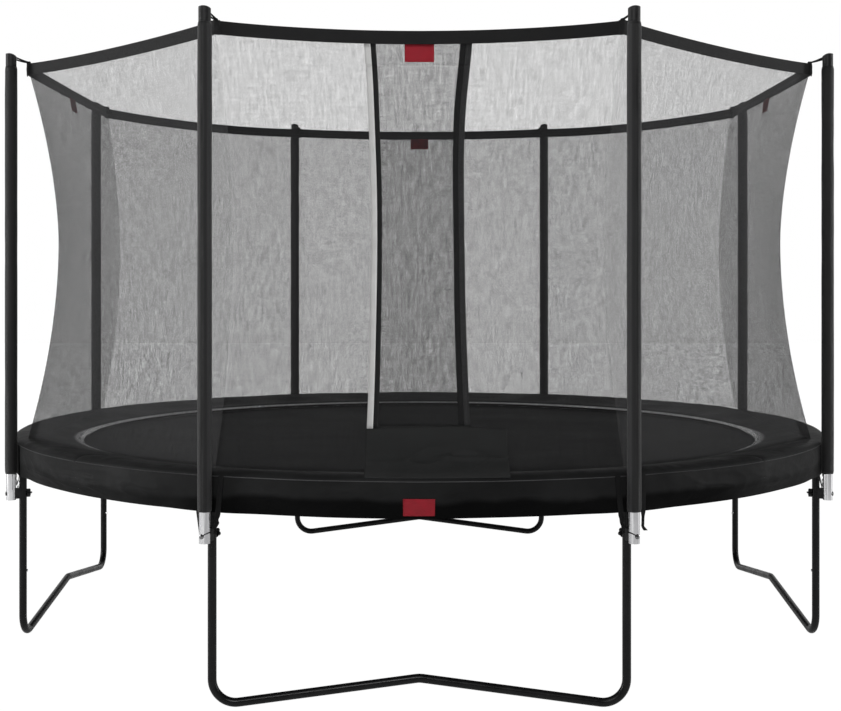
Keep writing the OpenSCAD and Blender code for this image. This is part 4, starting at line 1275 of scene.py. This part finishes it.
def makeTag(i):
    # A small woven rectangle that hangs from the band's foot on the outer side of the net.
    t = tag
    y = np.linspace(-0.5, 0.5, 16)[None] * t["wide"]
    h = np.linspace(0, 1, 10)[:, None]
    tall = t["tall"] + t["tuck"]
    z = net["bandCornerFoot"] - sag[i] + t["tuck"] - tall * (1 - h) + 0 * y
    base = netSurface(i, 0 * z, z)
    out = np.hypot(base[..., 0], base[..., 1]) + t["off"]
    curl = t["curl"] * (1 - h) ** 2 * (0.4 + fieldNoise(y * 14 + i, 0 * y, 140 + i))
    pts = sideSpace(i, out + curl + 0.0006 * np.sin(y * 80 + i) * (1 - h), y + 0 * h, z)
    shape = Shape()
    shape.shell(pts, t["thick"], metres(17, 11, t["wide"], t["tall"]))
    piece = shape.finish(f"redTag_{i}", finishes["red"], "frame", "tag_red")
    return piece


def makeSkirtTag():
    # A rectangle that follows the skirt's face and its creases.
    t = tag
    a = np.linspace(-0.5, 0.5, 22)[None] * t["skirtFlat"][0] / tramp["skirtR"] - math.pi / 2 - 0.0008
    z = np.linspace(t["skirtFoot"], t["skirtTop"], 12)[:, None] + 0 * a
    shoulder = tramp["padUnder"] + pad["shoulderThick"]
    down = (shoulder - z) / (shoulder - tramp["skirtFoot"])
    r = tramp["skirtR"] + skirtShift(a + 0 * z, down) + t["skirtOff"]
    shape = Shape()
    shape.shell(polar(a + 0 * z, r, z), t["thick"], metres(23, 13, *t["skirtFlat"]))
    piece = shape.finish("redTag_skirt", finishes["red"], "frame", "tag_red")
    return piece


tags = [makeTag(i) for i in (1, 3, 5, 7)] + [makeSkirtTag()]
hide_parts("tags")
print("threshold and tags made")

# Floor, light and camera
studio = {
    "floorSize": 60, "floorSeen": 1.0, "floorGlow": 0.22, "room": 0.13, "backdrop": 0.85,
    "wallY": (0.25, 0.85),
    # name: power, place, width and height, the height that it is aimed at
    "lights": {
        "key": (285, (-8.0, -1.8, 2.6), (1.4, 4.5), 1.3),
        "rim": (190, (8.0, -1.0, 2.6), (1.0, 4.5), 1.4),
        "front": (200, (-1.0, -7.6, 5.4), (3.4, 2.2), 1.2),
    },
}


def makeFloor():
    # One square, that is seen white and lights the object dimly.
    half = studio["floorSize"] / 2
    mesh = bpy.data.meshes.new("floor")
    corners = [(x * half, y * half, -0.0005) for x, y in ((-1, -1), (1, -1), (1, 1), (-1, 1))]
    mesh.from_pydata(corners, [], [(0, 1, 2, 3)])
    f = Finish("paleFloor", (0.75, 0.75, 0.75), 0.9, 0.1)
    f.set("Emission Color", (1, 1, 1, 1))
    path = f.tree.nodes.new("ShaderNodeLightPath")
    plain = f.mix(f.noise(0.6, 2), (0.74, 0.74, 0.74), (0.76, 0.76, 0.76))
    f.colour(f.mix(path.outputs["Is Camera Ray"], plain, (0.01, 0.01, 0.01)))
    glow = f.ramp(path.outputs["Is Camera Ray"], 0, 1, studio["floorGlow"], studio["floorSeen"])
    f.link(glow, f.shader.inputs["Emission Strength"])
    mesh.materials.append(f.material)
    floor = bpy.data.objects.new("floor", mesh)
    bpy.context.scene.collection.objects.link(floor)


def makeLight(name, power, place, size, aimH):
    data = bpy.data.lights.new(name, "AREA")
    data.shape = "RECTANGLE"
    data.size, data.size_y = size
    data.energy = power
    lamp = bpy.data.objects.new(name, data)
    bpy.context.scene.collection.objects.link(lamp)
    lamp.location = place
    lamp.rotation_euler = (Vector((0, 0, aimH)) - Vector(place)).to_track_quat("-Z", "Y").to_euler()


makeFloor()
for name, values in studio["lights"].items():
    makeLight(name, *values)


def makeRoom():
    # A white room that is seen white, and lights the object dimly but for a bright wall at the back.
    world = bpy.data.worlds.new("studio")
    world.use_nodes = True
    tree = world.node_tree
    seen = tree.nodes["Background"]
    seen.inputs["Color"].default_value = (1, 1, 1, 1)
    seen.inputs["Strength"].default_value = 1.0
    lit, mix, path, where, split, wall = (tree.nodes.new("ShaderNode" + kind) for kind in (
        "Background", "MixShader", "LightPath", "TexCoord", "SeparateXYZ", "MapRange"))
    wall.interpolation_type = "SMOOTHSTEP"
    values = (*studio["wallY"], studio["room"], studio["backdrop"])
    for socket, value in zip(("From Min", "From Max", "To Min", "To Max"), values):
        wall.inputs[socket].default_value = value
    for a, b in (
            (where.outputs["Generated"], split.inputs[0]), (split.outputs["Y"], wall.inputs["Value"]),
            (wall.outputs["Result"], lit.inputs["Strength"]), (lit.outputs[0], mix.inputs[1]),
            (path.outputs["Is Camera Ray"], mix.inputs[0]), (seen.outputs[0], mix.inputs[2]),
            (mix.outputs[0], tree.nodes["World Output"].inputs["Surface"])):
        tree.links.new(a, b)
    return world


scene = bpy.context.scene
scene.world = makeRoom()
scene.view_settings.view_transform = "Standard"
scene.cycles.transparent_max_bounces = 24

lens = {"at": (0, -6.647, 1.526), "length": 58.05, "shiftX": 0.0013, "shiftY": -0.0821}
cameraData = bpy.data.cameras.new("camera")
cameraData.lens = lens["length"]
cameraData.sensor_width = 36
cameraData.shift_x, cameraData.shift_y = lens["shiftX"], lens["shiftY"]
cameraData.clip_end = 200
camera = bpy.data.objects.new("camera", cameraData)
scene.collection.objects.link(camera)
camera.location = lens["at"]
camera.rotation_euler = (math.radians(90), 0, 0)
scene.camera = camera
print("studio made")
